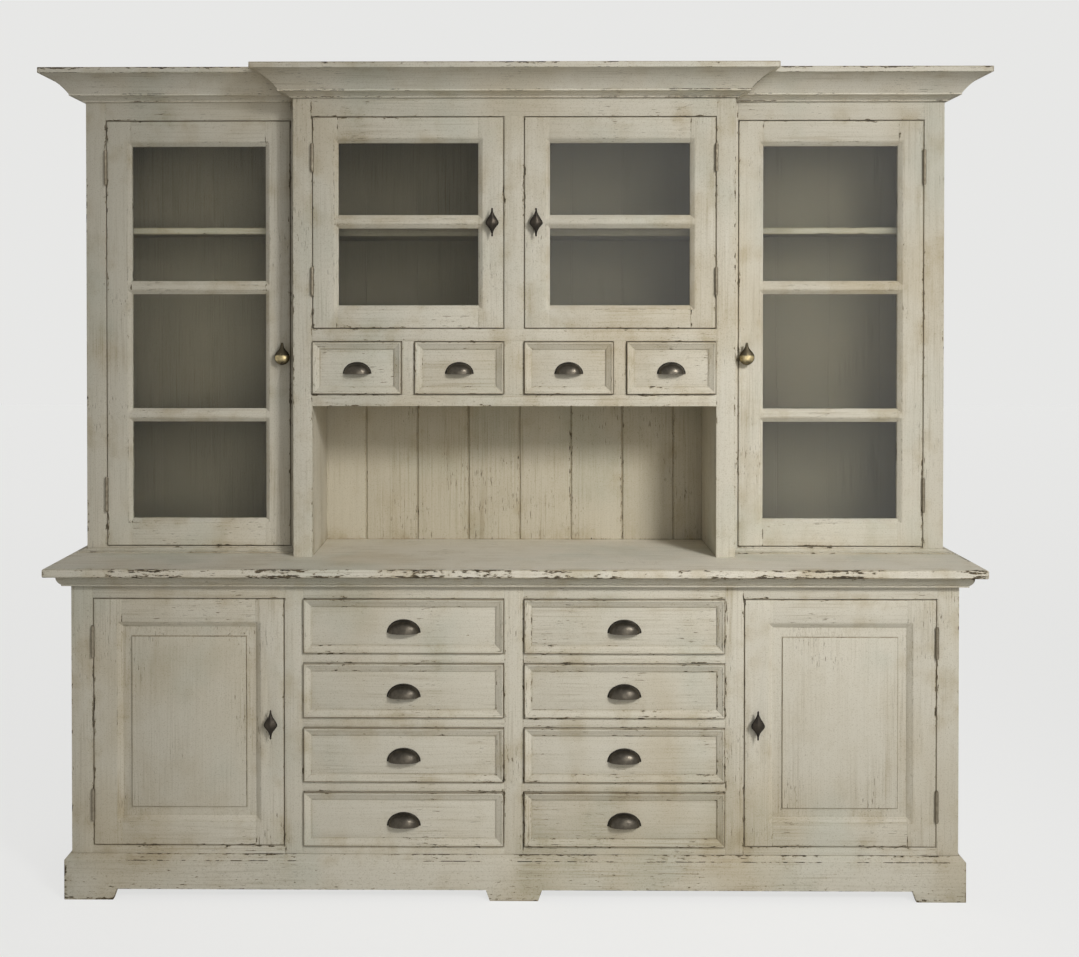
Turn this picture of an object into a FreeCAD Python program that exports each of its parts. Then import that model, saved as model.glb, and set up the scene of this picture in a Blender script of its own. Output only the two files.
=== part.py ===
"""Painted two-part buffet cabinet: drawers and cupboards below, glazed hutch above.

Millimetres, +Z up, +X to the right, the front faces -Y.
The origin is on the floor, in the middle of the width and of the depth.
"""
import FreeCAD, Part
import math
import os
import re
import Sketcher

doc = FreeCAD.newDocument("BuffetCabinet")

# Driving sizes, in the order in which the cabinet is built up from the floor
SIZES = (
    # The boards that the cabinet is made of, and the fits between them
    ("board", 18, "carcass boards, partitions and shelves"),
    ("frame_thick", 22, "face frames"),
    ("back_thick", 16, "upright boards at the back of the hutch"),
    ("base_back_thick", 12, "back panels of the base"),
    ("door_gap", 2, "gap all round a closed door"),
    ("stop_gap", 0.3, "closed door to its stop"),
    ("drawer_gap", 1.5, "gap all round a closed drawer front"),
    ("slide_gap", 0.3, "drawer to the runner it slides on"),
    ("guide_gap", 0.5, "drawer side to its guide strip"),
    ("overrun", 5, "how far a cutting shape runs past the wood"),
    # Base, across from its middle
    ("base_centre_stile", 50, "stile between the two columns of drawers"),
    ("base_drawer_wide", 521, "opening of a wide drawer"),
    ("base_mid_stile", 48, "stile between drawers and door"),
    ("base_door_wide", 498, "opening of a base door"),
    ("base_end_stile", 56, "stile at each end of the base"),
    # Base, up from the floor
    ("foot_tall", 28, "open height under the plinth between the feet"),
    ("plinth_tall", 116, "floor to the top of the plinth"),
    ("base_low_rail", 20, "rail showing above the plinth"),
    ("base_drawer_tall", 143, "opening of a wide drawer"),
    ("base_drawer_rail", 24, "rail between two drawers"),
    ("base_top_rail", 62, "rail above the drawers"),
    ("counter_thick", 22, "countertop"),
    ("counter_deep", 510, "countertop, front to back"),
    ("counter_overhang", 57.5, "countertop beyond the face frame and the ends"),
    ("counter_round", 4, "rounding of the countertop's edge"),
    # Plinth and feet
    ("plinth_out", 16, "plinth board, which stands in front of the frame"),
    ("plinth_slope_tall", 13, "sloping top edge of the plinth"),
    ("plinth_slope_deep", 12, "how far that slope runs back"),
    ("end_foot_wide", 127, "foot at each corner, on the floor"),
    ("centre_foot_wide", 125, "foot in the middle, on the floor"),
    ("foot_slant", 10, "how much wider a foot is at its top"),
    ("foot_block", 60, "block glued in behind each foot"),
    # Moulding under the countertop
    ("bed_tall", 28, "moulding under the countertop"),
    ("bed_out", 31, "how far its top stands out"),
    ("bed_fillet", 5, "flat band along its top"),
    ("bed_foot", 20, "how far its lower edge stands out"),
    ("bed_edge", 4, "flat band along that edge"),
    ("bed_swell", 24, "radius of its rounded face"),
    # Hutch, across from its middle
    ("hutch_centre_in", 2, "side of the centre section to the near edge of a base door"),
    ("hutch_beyond", 22, "end of the hutch beyond the end of the base"),
    ("hutch_centre_stile", 52, "stile between the two upper doors"),
    ("centre_side_stile", 51, "stile at each side of the centre section"),
    ("side_near_stile", 18, "stile of a side section next to the centre"),
    ("side_end_stile", 54, "stile at each end of the hutch"),
    ("small_divider", 33, "stile between two small drawers"),
    # Strip round the foot of the side sections
    ("foot_strip_tall", 12, "strip on the countertop"),
    ("foot_strip_out", 22, "how far it stands out"),
    ("foot_strip_edge", 4, "flat band along its outer edge"),
    ("foot_strip_top", 4, "flat band along its top"),
    ("foot_strip_hollow", 18, "radius of its hollow"),
    # Hutch, front to back
    ("hutch_setback", 136, "base frame back to the front of the hutch centre"),
    ("hutch_step", 77, "how far the centre section stands forward"),
    # Hutch, up from the countertop
    ("side_low_rail", 16, "rail under a side door"),
    ("niche_tall", 405, "open niche"),
    ("niche_rail", 31, "rail above the niche"),
    ("small_drawer_tall", 143, "opening of a small drawer"),
    ("small_rail", 33, "rail above the small drawers"),
    ("upper_door_tall", 568, "opening of an upper door"),
    ("frieze_tall", 49, "plain band between doors and cornice"),
    # Cornice
    ("cornice_tall", 80, "cornice"),
    ("cornice_out", 100, "how far the cornice stands out"),
    ("cornice_lip", 15, "flat band at its top, above the hutch top boards"),
    ("cornice_lip_back", 4, "set back under the flat band"),
    ("cornice_hollow", 118, "radius of the large hollow"),
    ("cornice_band_out", 36, "how far the middle band stands out"),
    ("cornice_band_low", 14, "underside of the middle band"),
    ("cornice_band_high", 18, "top of the middle band"),
    ("cornice_bed_out", 32, "how far the small hollow reaches"),
    ("cornice_bed_low", 3, "start of the small hollow"),
    ("cornice_foot", 8, "flat edge along the bottom of the cornice"),
    ("cornice_small_hollow", 50, "radius of the small hollow"),
    # Upright boards at the back of the hutch
    ("back_boards_right", 7.68, "boards between the first joint and the right-hand end"),
    ("back_offset", 16, "first joint, to the right of the middle"),
    ("back_vee", 4, "bevel along each long edge"),
    # Shelves and strips inside
    ("cleat", 18, "strip that a shelf rests on, square"),
    ("cleat_short", 20, "how far a cleat stays behind the shelf's front"),
    ("shelf_set_back", 60, "hutch face to the front of a shelf"),
    ("base_shelf_set_back", 90, "base face to the front of a shelf"),
    ("centre_shelf_up", 252, "upper doors' opening bottom to the centre shelf"),
    ("upper_shelf_up", 261, "upper doors' opening bottom to the upper side shelves"),
    ("lower_shelf_up", 341, "side doors' opening bottom to the lower side shelves"),
    ("base_shelf_up", 304, "base doors' opening bottom to the base shelves"),
    ("stop_lap", 8, "how far a door stop reaches down behind the door"),
    ("stop_hold", 20, "how far a door stop reaches up behind the rail"),
    ("stop_thick", 12, "door stop"),
    ("stretcher_deep", 60, "flat rail that the countertop is screwed to"),
    # Glazed doors
    ("glazed_stile", 56, "flat of a glazed door's stiles and top rail"),
    ("side_door_low_rail", 62, "flat of a side door's bottom rail"),
    ("upper_door_low_rail", 49, "flat of an upper door's bottom rail"),
    ("bar_flat", 12, "flat of a glazing bar"),
    ("sticking_wide", 12, "moulded edge round a pane"),
    ("sticking_step", 1.5, "small square step outside the moulded edge"),
    ("sticking_deep", 10.5, "depth of the moulded edge"),
    ("side_bar_low", 359, "door opening bottom to the lower bar's middle"),
    ("side_bar_high", 708, "door opening bottom to the upper bar's middle"),
    ("upper_bar", 287, "door opening bottom to the bar's middle"),
    ("glass_line", 12, "door face to the glass"),
    ("glass_thick", 3, "glass"),
    ("glass_lap", 8, "rebate that the glass and its beads sit in"),
    ("glass_fit", 1, "glass edge to the rebate"),
    ("bead_thick", 6, "strip that holds the glass"),
    # Panelled base doors
    ("panel_stile", 60, "flat of a base door's stiles and rails"),
    ("panel_sticking", 14, "moulded edge round the panel"),
    ("panel_line", 11, "door face to the panel's edge"),
    ("panel_edge_thick", 6, "panel where it sits in its groove"),
    ("panel_groove", 8, "depth of the groove"),
    ("panel_fit", 0.3, "panel to the groove's walls"),
    ("panel_margin", 3, "flat margin round the slope"),
    ("panel_slope", 21, "slope up to the raised field"),
    ("panel_raise", 5, "how far the slope rises"),
    ("panel_step", 3, "small step from the slope up to the field"),
    # Butt hinges
    ("hinge_pin_radius", 2, "hinge pin"),
    ("hinge_pin_fit", 0.05, "pin to knuckle"),
    ("knuckle_radius", 4.5, "hinge knuckle"),
    ("knuckle_gap", 0.3, "gap between knuckles, and to the other leaf"),
    ("hinge_leaf_thick", 1.6, "hinge leaf"),
    ("hinge_leaf_gap", 0.4, "between the two leaves of a closed hinge"),
    ("hinge_leaf_deep", 16, "how deep a leaf runs in beside the door"),
    ("hinge_ahead", 5, "pin axis in front of the door face"),
    ("pin_head_tall", 3, "button at each end of a pin"),
    ("pin_head_radius", 3.4, "that button"),
    ("side_hinge_long", 90, "hinge of a side door"),
    ("side_hinge_top", 129, "opening top to the hinge's middle"),
    ("side_hinge_low", 142, "opening bottom to the hinge's middle"),
    ("upper_hinge_long", 70, "hinge of an upper door"),
    ("upper_hinge_top", 110, "opening top to the hinge's middle"),
    ("upper_hinge_low", 127, "opening bottom to the hinge's middle"),
    ("base_hinge_long", 78, "hinge of a base door"),
    ("base_hinge_top", 113, "opening top to the hinge's middle"),
    ("base_hinge_low", 107, "opening bottom to the hinge's middle"),
    # Turn knobs
    ("base_knob_in", 34, "opening edge to the knob, base door"),
    ("upper_knob_in", 32.5, "opening edge to the knob, upper door"),
    ("side_knob_in", 21.5, "opening edge to the knob, side door"),
    ("base_knob_up", 320, "opening bottom to the knob, base door"),
    ("upper_knob_up", 284, "opening bottom to the knob, upper door"),
    ("side_knob_up", 518, "opening bottom to the knob, side door"),
    ("spindle_radius", 4, "spindle through the door"),
    ("spindle_fit", 0.1, "spindle to its hole"),
    ("rose_radius", 10, "round plate under the knob"),
    ("rose_thick", 3, "that plate"),
    ("rose_gap", 0.3, "plate to the door"),
    ("neck_radius", 5, "neck of the knob"),
    ("neck_long", 8, "neck of the knob"),
    ("drop_high", 76, "spindle-shaped knob, tip to tip"),
    ("drop_wide", 36, "across its widest part"),
    ("drop_neck_half", 3, "half width near its tips"),
    ("drop_back", 7, "neck to its widest part"),
    ("drop_front", 9, "widest part to its ridge"),
    ("button_radius", 21, "round body of a side door's knob"),
    ("button_rim", 3, "band round that body"),
    ("button_dome", 8, "height of its dome"),
    ("button_back", 6, "flare behind its band"),
    ("button_tip_high", 40, "middle of the body to the tip"),
    ("button_tip_radius", 1.5, "tip"),
    ("button_tip_root", 9, "root of the tip"),
    ("tongue_wide", 12, "catch behind the door"),
    ("tongue_thick", 3, "catch"),
    ("tongue_gap", 1, "catch to the back of the door"),
    ("tongue_lap", 12, "how far the turned catch reaches behind the stile"),
    # Drawers
    ("front_thick", 20, "drawer front"),
    ("trim_wide", 21, "moulding planted round a drawer front"),
    ("trim_out", 8, "how far it stands out"),
    ("trim_rim", 6, "its flat outer rim"),
    ("trim_quirk", 1.5, "small step inside the rim"),
    ("trim_toe", 2, "its inner edge"),
    ("drawer_side_thick", 12, "drawer sides and back"),
    ("box_low", 31, "how much lower a drawer's sides are than its opening"),
    ("drawer_short", 14, "closed drawer to the back of the case"),
    ("bottom_thick", 6, "drawer bottom"),
    ("bottom_up", 8, "drawer bottom above the lower edge of the sides"),
    ("bottom_groove", 5, "groove for the drawer bottom"),
    ("runner_tall", 20, "runner under a drawer side"),
    ("guide_tall", 15, "strip that guides a drawer sideways"),
    ("runner_short", 12, "end of a runner to the back of the case"),
    # Cup pulls
    ("pull_wide", 88, "pull of a wide drawer"),
    ("pull_high", 35, "pull of a wide drawer"),
    ("small_pull_wide", 77, "pull of a small drawer"),
    ("small_pull_high", 32, "pull of a small drawer"),
    ("pull_out", 25, "how far a pull stands out"),
    ("pull_wall", 2.2, "wall of a pull"),
    ("pull_flange", 4, "rim that lies on the drawer front"),
    ("pull_flange_thick", 2, "that rim"),
)
DRAWER_ROWS = 4
KNUCKLES = 5

# Places that follow from the sizes
PLACES = (
    ("front", "-counter_deep / 2"),
    ("back", "counter_deep / 2"),
    ("base_face", "front + counter_overhang"),
    ("base_inside", "base_face + frame_thick"),
    ("base_back", "back - base_back_thick"),
    ("centre_face", "base_face + hutch_setback"),
    ("centre_inside", "centre_face + frame_thick"),
    ("side_face", "centre_face + hutch_step"),
    ("side_inside", "side_face + frame_thick"),
    ("hutch_back", "back - back_thick"),
    ("leaf_thick", "frame_thick - stop_gap"),
    ("base_drawer_near", "base_centre_stile / 2"),
    ("base_drawer_far", "base_drawer_near + base_drawer_wide"),
    ("base_door_near", "base_drawer_far + base_mid_stile"),
    ("base_door_far", "base_door_near + base_door_wide"),
    ("base_half", "base_door_far + base_end_stile"),
    ("counter_half", "base_half + counter_overhang"),
    ("partition_middle", "(base_drawer_far + base_door_near) / 2"),
    ("partition_near", "partition_middle - board / 2"),
    ("partition_far", "partition_middle + board / 2"),
    ("base_wall", "base_half - board"),
    ("centre_half", "base_door_near - hutch_centre_in"),
    ("upper_door_near", "hutch_centre_stile / 2"),
    ("upper_door_far", "centre_half - centre_side_stile"),
    ("upper_door_wide", "upper_door_far - upper_door_near"),
    ("centre_wall", "upper_door_far + board"),
    ("return_wall", "centre_half - board"),
    ("side_door_near", "centre_half + side_near_stile"),
    ("hutch_half", "base_half + hutch_beyond"),
    ("side_door_far", "hutch_half - side_end_stile"),
    ("side_door_wide", "side_door_far - side_door_near"),
    ("hutch_wall", "hutch_half - board"),
    ("back_pitch", "(hutch_wall - back_offset) / back_boards_right"),
    ("small_drawer_wide", "(upper_door_wide - small_divider) / 2"),
    ("small_first_far", "upper_door_near + small_drawer_wide"),
    ("small_second_near", "small_first_far + small_divider"),
    ("divider_middle", "(small_first_far + small_second_near) / 2"),
    ("base_floor", "plinth_tall + base_low_rail"),
    ("base_pitch", "base_drawer_tall + base_drawer_rail"),
    ("base_zone_top", f"base_floor + {DRAWER_ROWS} * base_pitch - base_drawer_rail"),
    ("base_top", "base_zone_top + base_top_rail"),
    ("counter_top", "base_top + counter_thick"),
    ("side_floor", "counter_top + side_low_rail"),
    ("niche_top", "counter_top + niche_tall"),
    ("small_floor", "niche_top + niche_rail"),
    ("small_top", "small_floor + small_drawer_tall"),
    ("upper_floor", "small_top + small_rail"),
    ("doors_top", "upper_floor + upper_door_tall"),
    ("cornice_low", "doors_top + frieze_tall"),
    ("total_tall", "cornice_low + cornice_tall"),
    ("hutch_top", "total_tall - cornice_lip"),
    ("centre_shelf_level", "upper_floor + centre_shelf_up"),
    ("upper_shelf_level", "upper_floor + upper_shelf_up"),
    ("lower_shelf_level", "side_floor + lower_shelf_up"),
    ("base_shelf_level", "base_floor + base_shelf_up"),
    ("base_knob_level", "base_floor + base_knob_up"),
    ("upper_knob_level", "upper_floor + upper_knob_up"),
    ("side_knob_level", "side_floor + side_knob_up"),
    ("base_box_tall", "base_drawer_tall - box_low"),
    ("small_box_tall", "small_drawer_tall - box_low"),
    ("base_box_long", "base_back - base_face - front_thick - drawer_short"),
    ("small_box_long", "hutch_back - centre_face - front_thick - drawer_short"),
)

sizes = doc.addObject("Spreadsheet::Sheet", "Sizes")
places = doc.addObject("Spreadsheet::Sheet", "Places")
home = {name: "Sizes" for name, _, _ in SIZES}
home.update({name: "Places" for name, _ in PLACES})


def link(formula, own_sheet=None):
    """A formula with each named size turned into a reference to its cell."""
    def cell(match):
        word = match.group()
        if word not in home or home[word] == own_sheet:
            return word
        return f"{home[word]}.{word}"
    return re.sub(r"[a-z_]+", cell, str(formula))


for row, (name, number, note) in enumerate(SIZES, start=1):
    sizes.set(f"A{row}", note)
    sizes.set(f"B{row}", str(number))
    sizes.setAlias(f"B{row}", name)
for row, (name, formula) in enumerate(PLACES, start=1):
    places.set(f"A{row}", name.replace("_", " "))
    places.set(f"B{row}", "=" + link(formula, "Places"))
    places.setAlias(f"B{row}", name)
doc.recompute()


def value(formula):
    """The number that a formula of named sizes gives."""
    return float(sizes.evalExpression(link(formula)))


def bind(thing, **formulas):
    """Ties properties of an object to named sizes; base_x is its place along X."""
    for prop, formula in formulas.items():
        prop = {"base_x": "Placement.Base.x", "base_y": "Placement.Base.y",
                "base_z": "Placement.Base.z"}.get(prop, prop)
        thing.setExpression(prop, link(formula))
    return thing


# Directions, used to lay out profiles and outlines
RIGHT = FreeCAD.Vector(1, 0, 0)
LEFT = FreeCAD.Vector(-1, 0, 0)
BACKWARD = FreeCAD.Vector(0, 1, 0)
FORWARD = FreeCAD.Vector(0, -1, 0)
UP = FreeCAD.Vector(0, 0, 1)
DOWN = FreeCAD.Vector(0, 0, -1)


def box(name, x, y, z):
    """A board given by its two ends along each axis."""
    board = doc.addObject("Part::Box", name)
    for prop, place, (low, high) in (("Length", "base_x", x), ("Width", "base_y", y),
                                     ("Height", "base_z", z)):
        bind(board, **{prop: f"({high}) - ({low})", place: low})
    return board


def rod(name, x, y, z, radius, length, direction=UP):
    """A round rod that starts at x, y, z."""
    cylinder = doc.addObject("Part::Cylinder", name)
    cylinder.Placement.Rotation = FreeCAD.Rotation(UP, direction)
    return bind(cylinder, Radius=radius, Height=length, base_x=x, base_y=y, base_z=z)


def taper(name, wide, deep, shrink):
    """A block that narrows by shrink on all four sides towards its high end along Y."""
    (x_low, x_high), (z_low, z_high) = wide
    block = doc.addObject("Part::Wedge", name)
    return bind(block, Xmin=x_low, Xmax=x_high, Zmin=z_low, Zmax=z_high,
                Ymin=deep[0], Ymax=deep[1],
                X2min=f"{x_low} + {shrink}", X2max=f"{x_high} - {shrink}",
                Z2min=f"{z_low} + {shrink}", Z2max=f"{z_high} - {shrink}")


def cut(name, wood, *tools):
    """Wood with one or more shapes taken away."""
    tool = tools[0] if len(tools) == 1 else group(None, tools, name + "_tools")
    result = doc.addObject("Part::Cut", name)
    result.Base, result.Tool = wood, tool
    return result


def common(name, first, second):
    """What two shapes share."""
    result = doc.addObject("Part::Common", name)
    result.Base, result.Tool = first, second
    return result


def fused(name, *shapes):
    """Shapes made into one solid."""
    result = doc.addObject("Part::MultiFuse", name)
    result.Shapes = list(shapes)
    return result


def group(label, pieces, name=None, **at):
    """Separate solids kept together, placed by base_x, base_y and base_z."""
    result = doc.addObject("Part::Compound", name or label)
    result.Links = list(pieces)
    if label:
        result.Label = label
    return bind(result, **at)


def mirrored(label, source):
    """The same thing on the other side of the cabinet's middle."""
    result = doc.addObject("Part::Mirroring", label)
    result.Source = source
    result.Normal = RIGHT
    result.Label = label
    return result


def both_sides(pieces):
    """Pieces of the right half, and the same for the left half."""
    return list(pieces) + [mirrored(piece.Name + "_left", piece) for piece in pieces]


def draw(sketch, points):
    """A closed outline through points (across, up), or (across, up, bend, radius).

    The line that leaves a point with a bend is an arc: round swells out of the
    outline and hollow dips into it. The points go round anticlockwise.
    """
    spots = [FreeCAD.Vector(value(point[0]), value(point[1]), 0) for point in points]
    ends = []
    for index, point in enumerate(points):
        start, end = spots[index], spots[(index + 1) % len(points)]
        if len(point) == 2:
            line = sketch.addGeometry(Part.LineSegment(start, end))
            ends.append((line, 1, 2))
            continue
        bend, radius = point[2:]
        side = 1 if bend == "round" else -1
        along = end - start
        reach = math.sqrt(value(radius) ** 2 - along.Length ** 2 / 4)
        across = FreeCAD.Vector(-along.y, along.x, 0).normalize()
        centre = start + along / 2 + across * (side * reach)
        first, last = (start, end) if side > 0 else (end, start)
        turn = [math.atan2(spot.y - centre.y, spot.x - centre.x) for spot in (first, last)]
        circle = Part.Circle(centre, UP, value(radius))
        arc = sketch.addGeometry(Part.ArcOfCircle(circle, turn[0], turn[1]))
        ends.append((arc, 1, 2) if side > 0 else (arc, 2, 1))
        number = sketch.addConstraint(Sketcher.Constraint("Radius", arc, value(radius)))
        sketch.setExpression(f"Constraints[{number}]", link(radius))
    for index, (line, start, end) in enumerate(ends):
        following = ends[(index + 1) % len(ends)]
        sketch.addConstraint(
            Sketcher.Constraint("Coincident", line, end, following[0], following[1]))
        for kind, formula in zip(("DistanceX", "DistanceY"), points[index]):
            number = sketch.addConstraint(
                Sketcher.Constraint(kind, -1, 1, line, start, value(formula)))
            sketch.setExpression(f"Constraints[{number}]", link(formula))
    return sketch


def outline(name, points, across, up, **at):
    """An outline whose own axes point across and up."""
    sketch = doc.addObject("Sketcher::SketchObject", name)
    draw(sketch, points)
    sketch.Placement.Rotation = FreeCAD.Rotation(across, up, across.cross(up), "ZXY")
    return bind(sketch, **at)


def prism(name, sketch, length, both_ways=False):
    """A solid with the sketch as its section."""
    solid = doc.addObject("Part::Extrusion", name)
    solid.Base = sketch
    solid.DirMode = "Normal"
    solid.Solid = True
    solid.Symmetric = both_ways
    return bind(solid, LengthFwd=length)


def plan(name, points, low, high):
    """An upright prism over an outline seen from above."""
    return prism(name, outline(name + "_plan", points, RIGHT, BACKWARD, base_z=low),
                 f"({high}) - ({low})")


def facing(name, points, near, deep):
    """A prism over an outline seen from the front; it runs forward from near."""
    return prism(name, outline(name + "_view", points, RIGHT, UP, base_y=near), deep)


def moulding(name, profile, outward, face, low, high, corners):
    """A run of moulding on a face, with the ends cut to its plan.

    The profile is drawn outwards from the face and up from the moulding's foot.
    """
    place = {"base_x" if outward.x else "base_y": face, "base_z": low}
    section = outline(name + "_profile", profile, outward, UP, **place)
    length = prism(name + "_length", section, "2 * (hutch_half + cornice_out)", True)
    return common(name, length, plan(name + "_ends", corners, low, high))


def runs(name, profile, out, low, high, half, face):
    """A moulding along the front and both ends of a case."""
    front = moulding(name + "_front", profile, FORWARD, face, low, high, (
        (f"-{half}", face), (f"-{half} - {out}", f"{face} - {out}"),
        (f"{half} + {out}", f"{face} - {out}"), (half, face)))
    end = moulding(name + "_end", profile, RIGHT, half, low, high, (
        (half, face), (f"{half} + {out}", f"{face} - {out}"),
        (f"{half} + {out}", "back"), (half, "back")))
    return front, end


def made_plinth():
    """Three plinth boards with bracket feet cut in them, and glue blocks behind the feet."""
    profile = (("0", "0"), ("plinth_out", "0"), ("plinth_out", "plinth_tall - plinth_slope_tall"),
               ("plinth_out - plinth_slope_deep", "plinth_tall"), ("0", "plinth_tall"))
    front, end = runs("plinth", profile, "plinth_out", "0", "plinth_tall", "base_half", "base_face")
    corner = "base_half + plinth_out - end_foot_wide"
    gap = facing("plinth_gap", (
        ("centre_foot_wide / 2", "0"), (corner, "0"),
        (f"{corner} - foot_slant", "foot_tall"),
        ("centre_foot_wide / 2 + foot_slant", "foot_tall")),
        "base_face + overrun", "plinth_out + 2 * overrun")
    front_foot = "base_face - plinth_out + end_foot_wide"
    end_gap_view = outline("plinth_end_gap_view", (
        (front_foot, "0"), ("back - end_foot_wide", "0"),
        ("back - end_foot_wide - foot_slant", "foot_tall"),
        (f"{front_foot} + foot_slant", "foot_tall")), BACKWARD, UP, base_x="base_half - overrun")
    end_gap = prism("plinth_end_gap", end_gap_view, "plinth_out + 2 * overrun")
    front_board = cut("plinth_front_board", front, gap, mirrored("plinth_gap_left", gap))
    end_board = cut("plinth_end_board", end, end_gap)
    blocks = [box(f"foot_block_{name}", ("base_wall - foot_block", "base_wall"), y,
                  ("0", "plinth_tall"))
              for name, y in (("front", ("base_inside", "base_inside + foot_block")),
                              ("back", ("base_back - foot_block", "base_back")))]
    middle = [box(f"middle_block_{name}", ("-foot_block / 2", "foot_block / 2"), y,
                  ("0", "plinth_tall"))
              for name, y in (("front", ("base_inside", "base_inside + foot_block")),
                              ("back", ("base_back - foot_block", "base_back")))]
    group("plinth", [front_board] + both_sides([end_board] + blocks) + middle)


def made_base_carcass():
    """End panels, floor, partitions, back panels and the rails that carry the countertop."""
    depth = ("base_inside", "base_back")
    end = box("base_end_panel", ("base_wall", "base_half"), ("base_inside", "back"),
              ("foot_tall", "base_top"))
    partition = box("base_partition", ("partition_near", "partition_far"), depth,
                    ("plinth_tall + board", "base_top"))
    back_panel = box("base_back_panel", ("0", "base_wall"), ("base_back", "back"),
                     ("foot_tall", "base_top"))
    stop = box("base_door_stop", ("base_door_near", "base_door_far"),
               ("base_inside", "base_inside + stop_thick"),
               ("base_zone_top - stop_lap", "base_zone_top + stop_hold"))
    pieces = [end, partition, back_panel, stop]
    for bay, across in (("drawer", ("board / 2", "partition_near")),
                        ("door", ("partition_far", "base_wall"))):
        for place, y in (("front", ("base_inside + stop_thick",
                                    "base_inside + stop_thick + stretcher_deep")),
                         ("back", ("base_back - stretcher_deep", "base_back"))):
            pieces.append(box(f"stretcher_{bay}_{place}", across, y,
                              ("base_top - board", "base_top")))
    floor = box("base_floor_board", ("-base_wall", "base_wall"), depth,
                ("plinth_tall", "plinth_tall + board"))
    middle = box("base_middle_partition", ("-board / 2", "board / 2"), depth,
                 ("plinth_tall + board", "base_top"))
    group("base_carcass", both_sides(pieces) + [floor, middle])


def mortise(name, hinge, x, face, level):
    """The shallow recess that one leaf of a hinge lies in."""
    return box(name, x, (f"{face} - overrun", f"{face} + hinge_leaf_deep"),
               (f"{level} - {hinge}_hinge_long / 2", f"{level} + {hinge}_hinge_long / 2"))


# Each kind of door: its opening, its face, and the floor that its hinges are measured from
DOORS = {
    "side": ("side_door_near", "side_door_far", "side_floor", "doors_top", "side_face"),
    "upper": ("upper_door_near", "upper_door_far", "upper_floor", "doors_top", "centre_face"),
    "base": ("base_door_near", "base_door_far", "base_floor", "base_zone_top", "base_face"),
}


def hinge_levels(kind):
    """The heights of a door's two hinges."""
    _, _, low, high, _ = DOORS[kind]
    return f"{high} - {kind}_hinge_top", f"{low} + {kind}_hinge_low"


def hung_stile(name, kind, across, up):
    """A frame stile with recesses for the leaves of the door that hangs on it."""
    _, far, _, _, face = DOORS[kind]
    recess = (f"{far} - overrun", f"{far} - door_gap / 2 + hinge_leaf_gap / 2 + hinge_leaf_thick")
    tools = [mortise(f"{name}_mortise_{number}", kind, recess, face, level)
             for number, level in enumerate(hinge_levels(kind), start=1)]
    return cut(name, box(name + "_wood", across, (face, f"{face} + frame_thick"), up), *tools)


def made_base_frame():
    """Stiles that run full height, and the rails between them."""
    deep = ("base_face", "base_inside")
    tall = ("foot_tall", "base_top")
    pieces = [hung_stile("base_frame_end_stile", "base", ("base_door_far", "base_half"), tall),
              box("base_frame_mid_stile", ("base_drawer_far", "base_door_near"), deep, tall)]
    for bay, across in (("drawer", ("base_drawer_near", "base_drawer_far")),
                        ("door", ("base_door_near", "base_door_far"))):
        pieces.append(box(f"base_frame_low_rail_{bay}", across, deep, ("foot_tall", "base_floor")))
        pieces.append(box(f"base_frame_top_rail_{bay}", across, deep,
                          ("base_zone_top", "base_top")))
    for row in range(1, DRAWER_ROWS):
        level = f"base_floor + {row} * base_pitch"
        pieces.append(box(f"base_frame_rail_{row}", ("base_drawer_near", "base_drawer_far"), deep,
                          (f"{level} - base_drawer_rail", level)))
    middle = box("base_frame_middle_stile", ("-base_drawer_near", "base_drawer_near"), deep, tall)
    group("base_face_frame", both_sides(pieces) + [middle])


def made_countertop():
    """One thick slab with its front and end edges rounded."""
    body = doc.addObject("PartDesign::Body", "countertop")
    body.Label = "countertop"
    sketch = body.newObject("Sketcher::SketchObject", "countertop_plan")
    floor = next(plane for plane in body.Origin.OriginFeatures if plane.Role == "XY_Plane")
    sketch.AttachmentSupport = [(floor, "")]
    sketch.MapMode = "FlatFace"
    draw(sketch, (("-counter_half", "front"), ("counter_half", "front"),
                  ("counter_half", "back"), ("-counter_half", "back")))
    slab = body.newObject("PartDesign::Pad", "countertop_slab")
    slab.Profile = sketch
    bind(slab, Length="counter_thick")
    doc.recompute()
    half = value("counter_half")
    front = value("front")
    tall = value("counter_thick")
    rounded = []
    for number, edge in enumerate(slab.Shape.Edges, start=1):
        middle = edge.CenterOfMass
        level = abs(middle.z) < 1e-6 or abs(middle.z - tall) < 1e-6
        if level and (abs(middle.y - front) < 1e-6 or abs(abs(middle.x) - half) < 1e-6):
            rounded.append(f"Edge{number}")
    edge_round = body.newObject("PartDesign::Fillet", "countertop_round")
    edge_round.Base = (slab, rounded)
    bind(edge_round, Radius="counter_round")
    body.Tip = edge_round
    bind(body, base_z="base_top")


def made_counter_moulding():
    """The rounded moulding in the corner between the countertop and the frame."""
    profile = (("0", "0"), ("bed_foot", "0"), ("bed_foot", "bed_edge", "round", "bed_swell"),
               ("bed_out", "bed_tall - bed_fillet"), ("bed_out", "bed_tall"), ("0", "bed_tall"))
    front, end = runs("bed", profile, "bed_out", "base_top - bed_tall", "base_top",
                      "base_half", "base_face")
    group("counter_moulding", [front] + both_sides([end]))


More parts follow.
